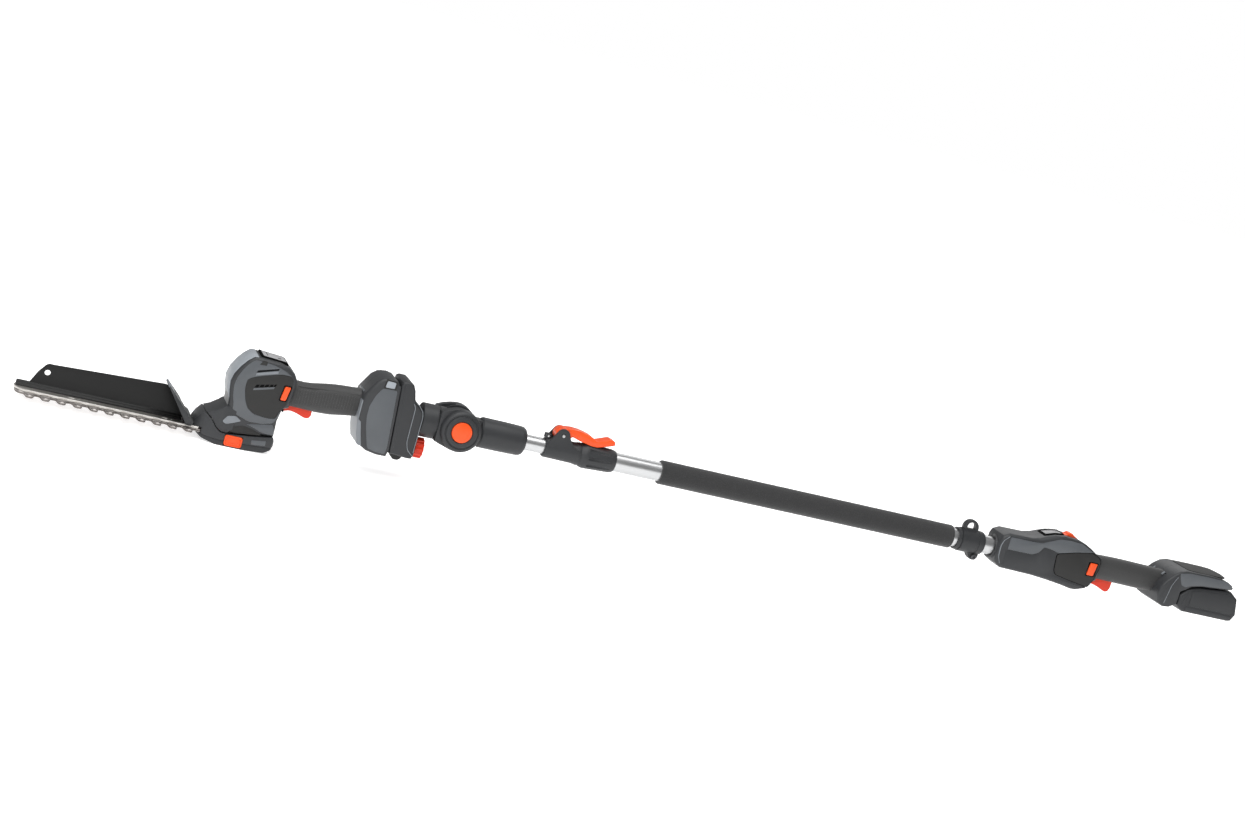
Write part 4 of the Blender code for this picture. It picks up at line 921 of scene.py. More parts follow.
def make_trimmer_controls():
    """Display, lock button and trigger of the trimmer."""
    frame_outline = [(-270.2, 39.0), (-266, 38.3), (-238, 36.3), (-234.6, 34.8), (-234.6, 31.8),
                     (-270.2, 34.6)]
    border = slab(frame_outline, -18.6, 18.6)
    soften(border, 1.2, 3)
    window = slab([(-267.6, 39.2), (-237.2, 37.1), (-237.2, 34.6), (-267.6, 36.6)], -15.8, 15.8)
    add_piece("display_border", carve(border, window), "trimmer", "seam",
              ["trimmer_display"])
    glass = slab([(-267.2, 38.7), (-237.6, 36.6), (-237.6, 34.6), (-267.2, 36.6)], -15.4, 15.4)
    soften(glass, 0.5, 2)
    add_piece("display_glass", glass, "trimmer", "display")
    square = slab([(-248, 37.57), (-243.8, 37.27), (-243.8, 37.0), (-248, 37.0)], -9.0, -5.6)
    line = slab([(-262, 38.5), (-261, 38.4), (-261, 36.8), (-262, 36.8)], -11.0, 11.0)
    add_piece("display_marks", together(square, line), "trimmer", "insert")
    add_lock_bar("front", LOCK_BAR_FRONT, (3.0, 2.6), 27.9, (27.5, 24.0), "trimmer")
    add_trigger("front", TRIGGER_OUTLINE)


def dress_hidden_nodes():
    """Finishes for the works that show only when the tool is taken apart."""
    kept = {"machine_steel": ["motor", "motor_pinion", "drive_gear", "gear_axle", "blade_cam",
                              "adapter_screw", "pivot_axle"], "board": ["control_board"],
            "cell_wrap": ["cell_pack"], "insert": ["switch_front", "switch_rear", "dock_terminals",
                                                   "tube_bush"]}
    for finish, nodes in kept.items():
        for node in nodes:
            dress(node, finish)


# ---------------------------------------------------------------- tilting joint

ADAPTER_OUTLINE = [(-90.6, 42), (-89.4, 46), (-86, 47.5), (-78, 47.5), (-74, 45), (-70.5, 38),
                   (-68, 28), (-66, 24), (-60, 20), (-54.5, 14), (-52, 8), (-52, -44), (-54, -49),
                   (-60, -49.5), (-83.9, -47.5)]
KNOB_Z = -37.3
SLEEVE_R = 22.0
CHEEK_R = 27.0


def make_adapter():
    """Block that plugs into the foot, its latch and its ribbed thumb screw."""
    block_form = pillow(ADAPTER_OUTLINE, 23.4, 3.2, 3.6, 5)
    neck = slanted_block((-7.5, 4.0), (-10.0, 10.0), (2.0, 70.0))
    rail = slanted_block((-12.6, -7.0), (-16.0, 16.0), (2.0, 70.0), 0.8)
    block_form = carve(block_form, carve(neck, rail, operation="UNION"), operation="UNION")
    block_form = carve(block_form, block((-79.4, -60.6), (-10.4, 10.4), (-60, -39)),
                       rod("X", (0.0, KNOB_Z), 3.3, -81, -40))
    add_piece("adapter_block", block_form, "tilt_head", "coupling", sharp=34.0)
    # The raised lines use the highlight finish: painted highlights along them.
    lines = [near_ridge(rounded_path([(-68.5, 22), (-65.6, 17), (-65.2, -28), (-62, -38),
                                      (-54, -44.5)]), 0.9, 27.0, 0.8),
             near_ridge(rounded_path([(-67.5, 26), (-60.5, 20.5), (-54.8, 14.0), (-53.4, 7.0),
                                      (-53.8, -40)]), 0.8, 27.0, 0.6)]
    add_pair("adapter_lines", together(*lines), "tilt_head", "bright_facet")
    edge = near_plate([(-89.4, 42), (-84.4, 43), (-79.6, -45), (-83.2, -45)], 26.8, 0.4, 0.3, 3.0)
    add_pair("adapter_edge", edge, "tilt_head", "coupling")
    outline = [(-79, -44), (-61, -44), (-61.3, -50), (-64, -55.5), (-67, -57.5), (-73, -57.5),
               (-76, -55), (-78.5, -50)]
    latch = pillow(rounded(outline, 1.6), 8.6, 1.3, 1.4, 3)
    add_piece("adapter_latch", latch, "adapter_catch", "insert")
    teeth = []
    for i in range(12):
        for share, radius in ((-0.32, 12.4), (-0.2, 13.6), (0.2, 13.6), (0.32, 12.4)):
            angle = math.radians(30.0 * (i + share))
            teeth.append((radius * math.sin(angle), KNOB_Z + radius * math.cos(angle)))
    knob = slab(teeth, -48.2, -38.5, "X", dome(0.8, 0.8, 3), dome(0.8, 1.0, 3))
    neck = rod("X", (0.0, KNOB_Z), 9.5, -51.7, -47, 48, 0.6)
    knob = carve(knob, neck, operation="UNION")
    knob = carve(knob, rod("X", (0.0, KNOB_Z), 3.3, -55, -41))
    add_piece("adapter_knob", knob, "adapter_thumb_screw", "trigger", sharp=30.0)


def fork_room():
    """Room between the cheeks where the eye turns."""
    return slab(arc((0, 0), 25.2, 90, 270, 40) + [(40, -25.2), (40, 25.2)], -10.8, 10.8)


def make_joint():
    """Two sleeves, the round cheeks with their rims, and the orange buttons."""
    profile = [(-51.5, 0.0), (-51.5, 20.6), (-50.2, SLEEVE_R), (-30.4, SLEEVE_R + 0.1),
               (-30.0, SLEEVE_R - 0.7), (-28.6, SLEEVE_R - 0.7), (-28.2, SLEEVE_R + 0.2),
               (-19.4, SLEEVE_R), (-18, 20.6), (-18, 0.0)]
    sleeve = carve(turned(profile, 72, False), fork_room())
    add_piece("front_sleeve", sleeve, "tilt_head", "coupling", ["front_knuckle"], 32.0)
    cheek_profile = [(10.8, 0.0), (10.8, CHEEK_R - 0.8), (11.8, CHEEK_R), (27.5, CHEEK_R),
                     (30.2, CHEEK_R - 1.2), (31.6, CHEEK_R - 3.2), (32.0, CHEEK_R - 4.6),
                     (31.2, CHEEK_R - 5.2), (31.2, CHEEK_R - 6.0), (32.6, CHEEK_R - 6.8),
                     (33.4, CHEEK_R - 8.5), (33.5, 14.9), (32.6, 13.9), (19.4, 13.8), (19.4, 0.0)]
    add_pair("cheek", turned_across(cheek_profile, 96), "tilt_head", "coupling",
             sharp=32.0)
    shoulder = [(-30.0, -20.0), (-30.0, 20.0), (-21.0, 24.0), (-12.0, 26.6), (-6.0, 27.6),
                (-6.0, -27.4), (-21.0, -23.0)]
    wedge = carve(slab(shoulder, -21.6, -11.4, "Y", dome(1.0, 1.8, 3)),
                  rod("Y", (0.0, 0.0), 20.0, -40.0, 0.0))
    add_pair("sleeve_shoulder", wedge, "tilt_head", "coupling")
    for side, name in SIDES:
        profile = [(24.0, 0.0), (24.0, 13.4), (32.9, 13.4), (33.6, 12.9), (34.0, 12.0),
                   (34.25, 0.0)]
        add_piece("pivot_button_" + name, turned_across(profile, 72, side), "tilt_button_" + name,
                  "accent", sharp=30.0)
    # A small light patch at the shoulder's edge: a painted highlight.
    index = slab([(-27.4, 19.4), (-24.6, 20.0), (-24.0, 15.4), (-26.4, 14.8)], -19.2, -8.0)
    soften(index, 0.4, 2)
    add_pair("shoulder_glint", index, "tilt_head", "bright_facet")
    rear = [(28.5, 0), (28.5, 16.8), (29.3, 18.6), (31.5, 20.0), (58, 19.9), (84, 19.4),
            (87.5, 18.8), (90.2, 17.2), (91.7, 14.9), (92, 13.2), (92, 10.8), (60, 10.8), (60, 0)]
    rear_form = turned(rear, 72, False)
    eye = turned_across([(-10.3, 0.0), (-10.3, 23.2), (-9.5, 24.0), (9.5, 24.0), (10.3, 23.2),
                         (10.3, 0.0)], 72, 1)
    rear_form = carve(rear_form, eye, block((4, 36), (-10.3, 10.3), (-16.5, 16.5)),
                      operation="UNION")
    rear_form = carve(rear_form, rod("Y", (0, 0), 4.1, -50, 50))
    add_piece("rear_sleeve", rear_form, "inner_pole", "coupling", ["rear_knuckle"],
              32.0)


# ---------------------------------------------------------------- pole

def make_pole():
    """Inner and outer aluminium tubes and the foam grip."""
    start, end = 60.3, 700.0
    inner = turned([(start, 9.3), (start, 10.2), (start + 0.3, 10.5), (end - 0.3, 10.5),
                    (end, 10.2), (end, 9.3)], 72)
    add_piece("inner_tube", inner, "inner_pole", "tube", sharp=30.0)
    start, end = 172.0, 830.0
    outer = turned([(start, 11.55), (start, 12.5), (start + 0.3, 12.75), (end - 0.3, 12.75),
                    (end, 12.5), (end, 11.55)], 72)
    add_piece("outer_tube", outer, "pole", "tube", sharp=30.0)
    first, last = 283.0, 722.0
    foam = [(first, 13.05), (first, 14.6), (first + 0.5, 15.6), (first + 1.8, 16.1)]
    foam += [(first + 1.8 + (last - first - 3.6) * i / 24, 16.1 + 0.05 * math.sin(i * 2.1))
             for i in range(1, 24)]
    foam += [(last - 1.8, 16.1), (last - 0.5, 15.6), (last, 14.6), (last, 13.05)]
    grip = add_piece("foam_grip", turned(foam, 72), "pole", "foam", sharp=40.0)


def make_clamp():
    """Lever clamp: sleeve with ears, fluted collar, pin and lever."""
    px, pz = 138.5, 21.0
    sleeve = [(120, 10.85), (118.6, 11.8), (118.5, 12.2), (120.4, 13.8), (160, 14.2),
              (166.6, 15.4), (167.7, 15.0), (167.7, 10.85)]
    body = turned(sleeve, 64)
    ear = [(119.4, 3), (122, 10), (125.5, 17)] + arc((px, pz), 9.2, 158, 40, 12)
    ear += [(149, 19), (157, 9.0), (167, 5), (167, -4), (121, -4)]
    ears = []
    for side in (-1, 1):
        part = slab(rounded(ear, 1.0, 3), -12.9, -10.2, "Y", dome(0.5, 0.5, 2))
        ears.append(on_side(part, side))
    body = carve(body, *ears, operation="UNION")
    body = carve(body, rod("X", (0, 0), 10.85, 100, 200, 64), rod("Y", (px, pz), 2.3, -30, 30),
                 block((116, 150), (-1.2, 1.2), (0, 30)), block((128, 150), (-9.9, 9.9), (5, 30)))
    add_piece("clamp_body", body, "pole", "coupling", sharp=32.0)
    lugs = [block((117.6, 124.4), (-5.6, -1.8), (12.0, 18.4), 0.8),
            block((117.6, 124.4), (1.8, 5.6), (12.0, 18.4), 0.8)]
    add_piece("clamp_lugs", together(*lugs), "pole", "coupling")
    bolt = rod("Y", (121.0, 15.6), 1.6, -7.0, 7.0, 24, 0.3)
    add_piece("clamp_bolt", bolt, "pole", "machine_steel")
    x0, x1 = 168.0, 218.0
    collar = [(x0, 12.85), (x0, 14.6), (x0 + 1.5, 15.4), (x0 + 6.5, 17.1), (x0 + 8, 17.3),
              (x1 - 6, 15.6), (x1 - 1.5, 14.6), (x1, 13.6), (x1, 12.85)]
    ring = turned(collar, 90)
    tools = []
    for i in range(10):
        angle = math.radians(18.0 + 36.0 * i)
        centre = (17.1 * math.sin(angle), 17.1 * math.cos(angle))
        tools.append(rod("X", centre, 2.5, x0 + 11, x1 - 7, 16, 0.0, 2.2))
    add_piece("clamp_collar", carve(ring, *tools), "pole", "coupling", sharp=32.0)
    lever = arc((px, pz), 10.0, 300, 78, 20)
    lever += [(150, 32.0), (160, 31.4), (168, 30), (176, 27.8), (181, 25.6), (186, 22.8),
              (203.5, 29.4), (210.5, 27.6), (211.5, 22.6), (200, 18.5), (187, 14.8), (180, 15.2),
              (165, 18), (152, 21.5), (147, 16.5)]
    handle = pillow(rounded(lever, 1.2), 8.0, 1.3, 1.6, 4)
    handle = carve(handle, rod("Y", (px, pz), 2.3, -30, 30), rod("X", (0, 0), 17.9, 160, 230, 64))
    add_piece("clamp_lever", handle, "clamp_handle", "accent", sharp=32.0)
    rail = near_plate(rounded([(160, 24.4), (170, 23.2), (180, 20.2), (184, 18.4), (184, 20.4),
                               (178, 23.4), (169, 26.2), (160, 27.2)], 1.0), 9.2, 0.5, 0.3)
    add_pair("lever_rail", rail, "clamp_handle", "accent")
    pin = rod("Y", (px, pz), 2.0, -14.0, 14.0, 40, 0.5)
    dimples = [rod("Y", (px, pz), 0.9, *sorted((side * 13.4, side * 15.0)), 20)
               for side in (-1, 1)]
    add_piece("clamp_pin", carve(pin, *dimples), "pole", "machine_steel")


def make_strap_collar():
    """Clamped collar with the eye for a shoulder strap."""
    x0, x1 = 729.0, 771.0
    ring = [(x0, 13.05), (x0, 14.8), (x0 + 0.8, 15.6), (x0 + 4, 15.9), (x0 + 4.4, 15.2),
            (x0 + 5.6, 15.2), (x0 + 6.0, 16.6), (x1 - 12, 16.6), (x1 - 11.5, 15.9),
            (x1 - 10.3, 15.9), (x1 - 9.8, 16.6), (x1 - 3.5, 16.4), (x1 - 1.0, 15.6), (x1, 14.2),
            (x1, 13.05)]
    collar = turned(ring, 72)
    eye = pillow(arc((748, 19.0), 11.4, -20, 200, 24), 3.2, 0.8, 0.8, 3)
    lug = pillow(rounded([(750, -12), (754.6, -20.6), (759, -24.5), (766, -24), (769, -19),
                          (769, -12)], 2.0), 5.6, 0.5, 0.6, 3)
    collar = carve(collar, eye, lug, operation="UNION")
    hole = arc((748, 20.5), 6.3, 0, 180, 18) + [(741.7, 17.6), (754.3, 17.6)]
    collar = carve(collar, slab(hole, -10, 10), rod("X", (0, 0), 13.05, x0 - 5, x1 + 5, 72),
                   block((x0 - 5, x1 + 5), (-0.8, 0.8), (-30, -10)),
                   rod("Y", (762, -19.6), 2.2, -20, 20))
    add_piece("strap_collar", collar, "pole", "coupling", sharp=32.0)
    screw = together(rod("Y", (762, -19.6), 1.9, -7, 9, 32, 0.3),
                     carve(rod("Y", (762, -19.6), 4.0, -9.3, -6.4, 48, 0.6),
                           rod("Y", (762, -19.6), 2.0, -12, -7.6, 6)))
    add_piece("strap_screw", screw, "pole", "dark_steel")


# ---------------------------------------------------------------- control housing

HOUSING_OUTLINE = [(788, -12), (788, 15), (791, 22), (800, 26.5), (836, 27), (848, 29.5),
                   (858, 33.5), (870, 37.5), (884, 39.5), (908, 38), (920, 34.5), (932, 29),
                   (944, 22), (951, 20), (951, -13), (945, -16), (942, -22), (936, -28),
                   (924, -32), (916, -32.3), (898, -29.5), (875, -27), (850, -25), (800, -24),
                   (791, -19)]
GRIP_STATIONS = [(940, -13.0, 20.0, 15.2), (955, -13.3, 20.6, 15.8), (975, -13.4, 21.2, 16.0),
                 (995, -13.6, 21.3, 16.0), (1020, -13.9, 20.9, 16.0), (1045, -13.9, 20.5, 16.0),
                 (1062, -13.7, 20.2, 15.8)]
DOCK_OUTLINE = [(1059, -26), (1050, -22), (1045, -9), (1047, 4), (1053, 12), (1062, 22),
                (1071, 28.5), (1081, 31.5), (1120, 32), (1141, 31), (1152, 28), (1161, 22),
                (1160, 18.5), (1150, 16.8), (1110, 13.5), (1095, 10), (1088, 5), (1080, 0),
                (1079.5, -19), (1069, -25)]
REAR_PANEL_OUTLINE = [(877.5, 12), (880, -10), (884, -15.5), (905, -19), (938, -23.5),
                      (943.5, -14), (947.5, 4), (947, 17), (940, 22.5), (930, 25), (905, 20.5),
                      (882, 14.5)]
TRIGGER_REAR_OUTLINE = [(953, -5), (982, -5.5), (985.5, -9), (985, -22), (982.5, -27.5),
                        (978, -28.8), (970, -25.5), (962, -22.8), (955, -21.5), (951.5, -20)]
BATTERY_OUTLINE = [(1080.5, -19), (1080.5, -4), (1086, 1.5), (1089, 5), (1096, 8), (1111, 11.5),
                   (1150, 15), (1161, 15.5), (1173, 7), (1177.5, -12), (1178.2, -16),
                   (1173, -25.8), (1168, -27), (1092, -27), (1086, -23.5)]
LOCK_BAR_REAR = (930.5, 943.5, -6.5, 11.5)


def make_control_shells():
    """Control housing and battery dock, in two halves."""
    x0, x1, z0, z1 = LOCK_BAR_REAR
    housing = slab(HOUSING_OUTLINE, -16.5, -0.15, "Y", dome(5.5, 6.8, 6))
    dock = slab(DOCK_OUTLINE, -29.5, -0.15, "Y", dome(2.2, 4.2, 5))
    dock_room = [(1052, -18), (1050, -6), (1056, 8), (1066, 20), (1075, 26), (1090, 27),
                 (1090, 15), (1078, 10), (1074, 2), (1074, -18)]
    dock = carve(dock, slab(dock_room, -26, 26),
                 slab([(1086, 18), (1086, 4), (1165, 4), (1165, 25), (1086, 25)], -17.4, 17.4))
    rooms = [rod("X", (0, 0), 13.05, 780, 840, 72), block((950.5, 987), (-7.6, 7.6), (-30, -8)),
             block((x0 - 0.4, x1 + 0.4), (-40, 40), (z0 - 0.4, z1 + 0.4)),
             slab([(855.6, 50), (885.4, 50), (885.4, 33.5), (855.6, 27)], -12.6, 12.6),
             slab([(886.6, 50), (916, 50), (916, 33), (886.6, 33)], -7.4, 7.4)]
    shell = together(carve(housing, *rooms), dock)
    add_pair("control_shell", shell, "pole", "housing", sharp=34.0)


def make_control_facets():
    """Facets with a painted sheen, mouth rings with a line painted as a highlight, dark inserts
    and grip rubber of the control housing.
    """
    facet = [(801, 22.4), (836, 22.6), (851, 23.6), (864, 29.4), (876, 34.4), (893, 35.6),
             (912, 34.4), (932, 26.2), (928, 25.0), (905, 21.0), (880, 14.8), (865, 18),
             (855, 18.6), (849, 9.4), (840, 5), (801, 4.6)]
    add_pair("control_facet", near_plate(rounded(facet, 2.0), 23.3, 0.55, 0.4), "pole",
             "facet")
    shoulder = near_plate(rounded([(798, 3.6), (840, 3.8), (850, 8.8), (856, 17.4), (864, 16.8),
                                   (876, 13.0), (878, -10), (883, -17.2), (905, -20.8),
                                   (938, -25.2), (926, -28.6), (898, -25.6), (850, -21.4),
                                   (800, -20.4)], 2.0), 23.3, 0.3, 0.25)
    add_pair("control_side", shoulder, "pole", "housing")
    panel = near_plate(rounded(REAR_PANEL_OUTLINE, 2.5), 23.7, 0.55, 0.4, 1.8)
    x0, x1, z0, z1 = LOCK_BAR_REAR
    panel = carve(panel, block((x0 - 0.9, x1 + 0.9), (-40, -15), (z0 - 0.9, z1 + 0.9), 1.2))
    add_pair("control_panel", panel, "pole", "insert")
    border = near_plate(offset(rounded(REAR_PANEL_OUTLINE, 2.5), 0.8), 23.5, 0.4, 0.1)
    border = carve(border, block((x0 - 0.9, x1 + 0.9), (-40, -15), (z0 - 0.9, z1 + 0.9), 1.2))
    add_pair("panel_border", border, "pole", "seam")
    rim = turned([(788.6, 13.3), (786.4, 14.2), (786.2, 16.2), (788.6, 17.2)], 72)
    add_piece("mouth_ring", rim, "pole", "coupling")
    # Raised line in the highlight finish: a painted highlight along the mouth's edge.
    line = near_ridge(rounded_path([(795.5, -17.5), (791.0, -8), (790.2, 8), (792.4, 16),
                                    (799.5, 22.6)]), 0.9, 22.6, 0.7)
    add_pair("mouth_highlight_line", line, "pole", "bright_facet")
    grip = carve(lofted(GRIP_STATIONS), block((950.5, 987), (-7.6, 7.6), (-30, -8)))
    add_piece("rear_grip", grip, "pole", "grip", sharp=34.0)
    seam = near_plate([(1058.4, -12), (1060.2, -12), (1060.2, 19), (1058.4, 19)], 14.0, 1.6, 0.3)
    add_pair("grip_seam", seam, "pole", "seam")


def make_control_pieces():
    """Display, mode switch, lock button and trigger of the control housing."""
    border = [(856.0, 33.4), (859, 35.6), (872, 39.7), (885.0, 41.2), (885.0, 34), (856.0, 27.4)]
    rim = slab(border, -12.2, 12.2)
    soften(rim, 0.8, 3)
    window = slab([(858.4, 37), (861, 40), (872, 43), (882.8, 43), (882.8, 40.2), (872, 38.6),
                   (860, 34.8), (858.4, 34.0)], -10.0, 10.0)
    add_piece("control_display_rim", carve(rim, window), "pole", "seam",
              ["control_display"])
    glass = slab([(858.6, 34.4), (860.4, 35.5), (872, 39.2), (882.6, 40.7), (882.6, 37.6),
                  (858.6, 32.0)], -9.8, 9.8)
    soften(glass, 0.4, 2)
    add_piece("control_display_glass", glass, "pole", "smoked")
    slider = [(888, 33.6), (888, 39.0), (892.5, 39.8), (896.0, 42.8), (898.2, 43.4), (900.4, 43.1),
              (906.5, 39.4), (910, 38.4), (910, 33.6)]
    mode = pillow(rounded(slider, 0.9), 6.0, 0.9, 1.0, 3)
    add_piece("mode_switch", mode, "mode_slider", "accent", sharp=32.0)
    track = slab([(886.8, 38.4), (915.6, 35.6), (915.6, 34.6), (886.8, 36.8)], -7.2, 7.2)
    add_piece("mode_track", track, "pole", "seam")
    add_lock_bar("rear", LOCK_BAR_REAR, (2.2, 1.8), 24.5, (24.4, 20.0), "pole")
    add_trigger("rear", TRIGGER_REAR_OUTLINE)


def make_dock_facets():
    """Side facet with a painted sheen, lobe lines with a ridge and a mark painted as highlights,
    and top skin of the battery dock.
    """
    side = [(1070, 26.4), (1086, 29.6), (1120, 30.0), (1148, 29.4), (1157.6, 24.8), (1158.6, 20.4),
            (1149, 18.8), (1110, 15.6), (1093, 12.2), (1084, 8.4), (1077, 10.6), (1073, 18)]
    add_pair("dock_facet", near_plate(rounded(side, 2.0), 33.6, 0.35, 0.3), "pole",
             "facet")
    lobe = [(1066.8, 21), (1071.0, 12), (1074.8, 5.0), (1076.6, -17), (1069, -22.4),
            (1060.5, -23.2), (1054.5, -20), (1050.0, -9), (1056.5, 7)]
    add_pair("dock_lobe", near_plate(rounded(lobe, 3.0), 33.6, 0.3, 0.25), "pole",
             "housing")
    # The ridge uses the highlight finish: a painted highlight along the lobe's edge.
    ridge = near_ridge(rounded_path([(1068.4, 20.4), (1062.4, 8), (1060.2, -8), (1058.2, -20.5)],
                                    6.0), 1.0, 33.6, 0.39)
    add_pair("dock_ridge", ridge, "pole", "bright_facet")
    skin = slab(rounded([(1086, -24), (1086, 24), (1096, 27.5), (1138, 27.5), (1150, 22),
                         (1154, 0), (1150, -22), (1138, -27.5), (1096, -27.5)], 4.0), 30.4, 31.9,
                "Z", high_crown=dome(0.8, 0.6, 3))
    add_piece("dock_skin", skin, "pole", "insert")
    # Small light patch at the end of the ridge: a painted highlight, not a groove.
    groove = near_plate([(1052.4, 16.6), (1056.4, 20.8), (1057.6, 19.8), (1053.8, 15.6)], 14.0,
                        1.0, 0.3)
    add_pair("dock_glint", groove, "pole", "bright_facet")


def make_battery():
    """Battery case with its rail, latch, side plates and grooves."""
    case = pillow(BATTERY_OUTLINE, 30.0, 3.6, 4.2, 5)
    rail = block((1092, 1157), (-16.8, 16.8), (5, 24.6), 0.8)
    case = carve(case, rail, operation="UNION")
    room = slab([(1082.9, -3), (1082.9, -17.8), (1088, -22), (1093, -24.6), (1171.6, -24.6),
                 (1175.2, -17), (1173, -3)], -33, 33)
    case = carve(case, room, block((1070, 1090), (-12.6, 12.6), (-16.6, -4.4)),
                 block((1157.4, 1172), (-10.4, 10.4), (2.0, 30)))
    add_piece("battery_case", case, "battery", "coupling", sharp=34.0)
    plate = near_plate(rounded([(1098, 5.0), (1112, 8.2), (1150, 11.2), (1160, 11.4),
                                (1167.5, 6.0), (1171, -12.2), (1168.6, -16.4), (1098, -16.4)],
                               2.0), 34.2, 0.7, 0.5)
    add_pair("battery_plate", plate, "battery", "coupling")
    steps = [near_plate(rounded([(1094, -18.4), (1172.4, -18.4), (1169.6, -24.4), (1094, -24.4)],
                                1.2), 34.2, 0.4, 0.3), near_plate([(1086.6, -17.5),
                                                                   (1088.0, -17.5), (1095.4, 6.6),
                                                                   (1094.0, 6.6)], 34.2, 0.4, 0.3)]
    add_pair("battery_steps", together(*steps), "battery", "housing")
    outline = [(1158, 6), (1158, 16), (1161, 17.4), (1165, 15.6), (1171.4, 10), (1171.4, 6)]
    latch = pillow(rounded(outline, 1.0), 9.2, 0.8, 0.8, 3)
    add_piece("battery_latch", latch, "battery_catch", "insert")


# ---------------------------------------------------------------- stage

FLOOR_SIZE = 30.0
NEAR_FLOOR_GLOW = 0.6
FAR_FLOOR_GLOW = 0.9
ROOM_LIGHT = 0.3
LIGHTS_AIM = Vector((0.0, 0.0, 0.08))
SOFTBOXES = (("top_softbox", (-0.4, -0.6, 2.6), 2.4, 62.0),
             ("front_softbox", (-1.8, -3.0, 2.3), 2.4, 60.0),
             ("rim_softbox", (1.4, 2.2, 1.8), 1.8, 14.0))
LENS = 67.95
SENSOR_WIDTH = 36.0
EYE_PLACE = (-1.0800, -2.8844, 0.6401)
EYE_RIGHT = (0.9243, -0.2671, 0.2726)
EYE_AHEAD = (0.3173, 0.9347, -0.1601)


def add_to_scene(name, data):
    """Put a mesh, light or camera in the scene."""
    item = bpy.data.objects.new(name, data)
    bpy.context.scene.collection.objects.link(item)
    return item


def make_floor():
    """Wide pale floor that glows a little more far from the object."""
    bm = bmesh.new()
    bmesh.ops.create_grid(bm, x_segments=8, y_segments=8, size=FLOOR_SIZE)
    mesh = bpy.data.meshes.new("floor")
    bm.to_mesh(mesh)
    bm.free()
    floor = add_to_scene("floor", mesh)
    make = Nodes("pale_floor")
    shader = make.shader.inputs
    make.link(make.tones(make.noise(3.0, 2.0), (0.86, 0.86, 0.86), (0.88, 0.88, 0.88)),
              shader["Base Color"])
    shader["Roughness"].default_value = 0.9
    shader["Specular IOR Level"].default_value = 0.1
    shader["Emission Color"].default_value = (1.0, 1.0, 1.0, 1.0)
    nearness = make.tree.nodes.new("ShaderNodeTexGradient")
    nearness.gradient_type = "SPHERICAL"
    make.link(make.mapped((0.2, 0.2, 0.2)), nearness.inputs["Vector"])
    glow = make.spread(nearness.outputs["Fac"], FAR_FLOOR_GLOW, NEAR_FLOOR_GLOW)
    make.link(glow, shader["Emission Strength"])
    mesh.materials.append(make.material)


def make_room():
    """White backdrop for the camera and a dimmer one for the light."""
    world = bpy.data.worlds.new("studio")
    world.use_nodes = True
    tree = world.node_tree
    room = tree.nodes["Background"]
    backdrop = tree.nodes.new("ShaderNodeBackground")
    for background, strength in ((room, ROOM_LIGHT), (backdrop, 1.0)):
        background.inputs["Color"].default_value = (1.0, 1.0, 1.0, 1.0)
        background.inputs["Strength"].default_value = strength
    choice = tree.nodes.new("ShaderNodeMixShader")
    path = tree.nodes.new("ShaderNodeLightPath")
    for output, target in ((path.outputs["Is Camera Ray"], choice.inputs["Fac"]),
                           (room.outputs["Background"], choice.inputs[1]),
                           (backdrop.outputs["Background"], choice.inputs[2]),
                           (choice.outputs["Shader"],
                            tree.nodes["World Output"].inputs["Surface"])):
        tree.links.new(output, target)
    bpy.context.scene.world = world


def make_lights():
    """Large soft lights aimed at the middle of the object."""
    for name, place, size, power in SOFTBOXES:
        light = bpy.data.lights.new(name, "AREA")
        light.size = size
        light.energy = power
        item = add_to_scene(name, light)
        item.location = place
        item.rotation_euler = (LIGHTS_AIM - Vector(place)).to_track_quat("-Z", "Y").to_euler()


def make_camera():
    """Camera at the near left, a little above the object."""
    camera = bpy.data.cameras.new("camera")
    camera.lens = LENS
    camera.sensor_width = SENSOR_WIDTH
    camera.clip_start = 0.05
    camera.clip_end = 100.0
    right = Vector(EYE_RIGHT).normalized()
    ahead = Vector(EYE_AHEAD).normalized()
    turn = Matrix((right, right.cross(ahead), -ahead)).transposed().to_4x4()
    eye = add_to_scene("camera", camera)
    eye.matrix_world = Matrix.Translation(EYE_PLACE) @ turn
    bpy.context.scene.camera = eye
    bpy.context.scene.view_settings.view_transform = "Standard"


# ---------------------------------------------------------------- operators and panel

class POLETRIMMER_OT_finishes(bpy.types.Operator):
    """Make the finishes and dress the works inside the tool"""

    bl_idname = "pole_trimmer.finishes"
    bl_label = "Finishes and works"

    def execute(self, context):
        build_finishes(context.scene.pole_trimmer)
        dress_hidden_nodes()
        return {"FINISHED"}


class POLETRIMMER_OT_stage(bpy.types.Operator):
    """Set the floor, the lights and the camera"""

    bl_idname = "pole_trimmer.stage"
    bl_label = "Stage"

    def execute(self, context):
        make_floor()
        make_room()
        make_lights()
        make_camera()
        return {"FINISHED"}


class POLETRIMMER_OT_blades(bpy.types.Operator):
    """Make the blades, their bar, the cuttings plate and the guard"""

    bl_idname = "pole_trimmer.blades"
    bl_label = "Blades and plate"

    def execute(self, context):
        make_blades(context.scene.pole_trimmer)
        make_cuttings_plate()
        make_blade_guard()
        return {"FINISHED"}


class POLETRIMMER_OT_cassette(bpy.types.Operator):
    """Make the blade cassette and its release buttons"""

    bl_idname = "pole_trimmer.cassette"
    bl_label = "Cassette"

    def execute(self, context):
        make_cassette()
        return {"FINISHED"}


class POLETRIMMER_OT_trimmer(bpy.types.Operator):
    """Make the trimmer's shells, facets, grip and controls"""

    bl_idname = "pole_trimmer.trimmer"
    bl_label = "Trimmer"

    def execute(self, context):
        make_trimmer_shells()
        make_head_facets()
        make_head_front()
        make_handle_grip(context.scene.pole_trimmer)
        make_foot_facets()
        make_trimmer_controls()
        return {"FINISHED"}


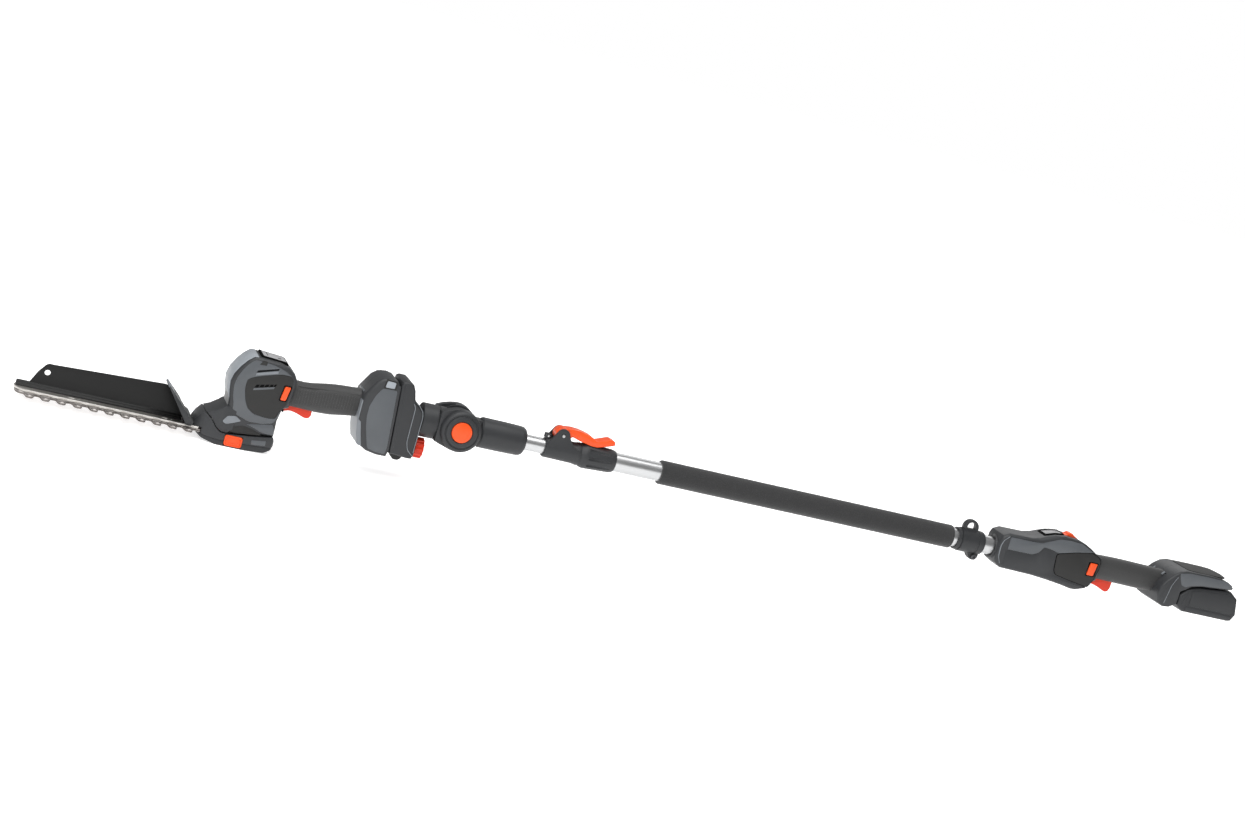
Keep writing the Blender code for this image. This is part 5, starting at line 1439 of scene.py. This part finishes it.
class POLETRIMMER_OT_joint(bpy.types.Operator):
    """Make the adapter and the tilting joint"""

    bl_idname = "pole_trimmer.joint"
    bl_label = "Tilting joint"

    def execute(self, context):
        make_adapter()
        make_joint()
        return {"FINISHED"}


class POLETRIMMER_OT_pole(bpy.types.Operator):
    """Make the tubes, the foam grip, the clamp and the strap collar"""

    bl_idname = "pole_trimmer.pole"
    bl_label = "Pole"

    def execute(self, context):
        make_pole()
        make_clamp()
        make_strap_collar()
        return {"FINISHED"}


class POLETRIMMER_OT_control(bpy.types.Operator):
    """Make the control housing and its controls"""

    bl_idname = "pole_trimmer.control"
    bl_label = "Control housing"

    def execute(self, context):
        make_control_shells()
        make_control_facets()
        make_control_pieces()
        return {"FINISHED"}


class POLETRIMMER_OT_battery(bpy.types.Operator):
    """Make the battery and the facets of its dock"""

    bl_idname = "pole_trimmer.battery"
    bl_label = "Battery and dock"

    def execute(self, context):
        make_dock_facets()
        make_battery()
        return {"FINISHED"}


STEPS = (POLETRIMMER_OT_finishes, POLETRIMMER_OT_stage, POLETRIMMER_OT_blades,
         POLETRIMMER_OT_cassette, POLETRIMMER_OT_trimmer, POLETRIMMER_OT_joint,
         POLETRIMMER_OT_pole, POLETRIMMER_OT_control, POLETRIMMER_OT_battery)


class POLETRIMMER_PT_panel(bpy.types.Panel):
    """Sizes, colours and steps of the pole trimmer"""

    bl_idname = "POLETRIMMER_PT_panel"
    bl_label = "Pole Trimmer"
    bl_space_type = "VIEW_3D"
    bl_region_type = "UI"
    bl_category = "Pole Trimmer"

    def draw(self, context):
        settings = context.scene.pole_trimmer
        for name in settings.bl_rna.properties.keys():
            if name not in ("rna_type", "name"):
                self.layout.prop(settings, name)
        for step in STEPS:
            self.layout.operator(step.bl_idname)


CLASSES = (PoleTrimmerSettings, *STEPS, POLETRIMMER_PT_panel)


def register():
    """Add the settings, the operators and the panel."""
    for item in CLASSES:
        bpy.utils.register_class(item)
    bpy.types.Scene.pole_trimmer = bpy.props.PointerProperty(type=PoleTrimmerSettings)


def unregister():
    """Remove what register added."""
    del bpy.types.Scene.pole_trimmer
    for item in reversed(CLASSES):
        bpy.utils.unregister_class(item)


def main():
    """Run every step."""
    register()
    for step in STEPS:
        group, action = step.bl_idname.split(".")
        getattr(getattr(bpy.ops, group), action)()


if __name__ == "__main__":
    main()
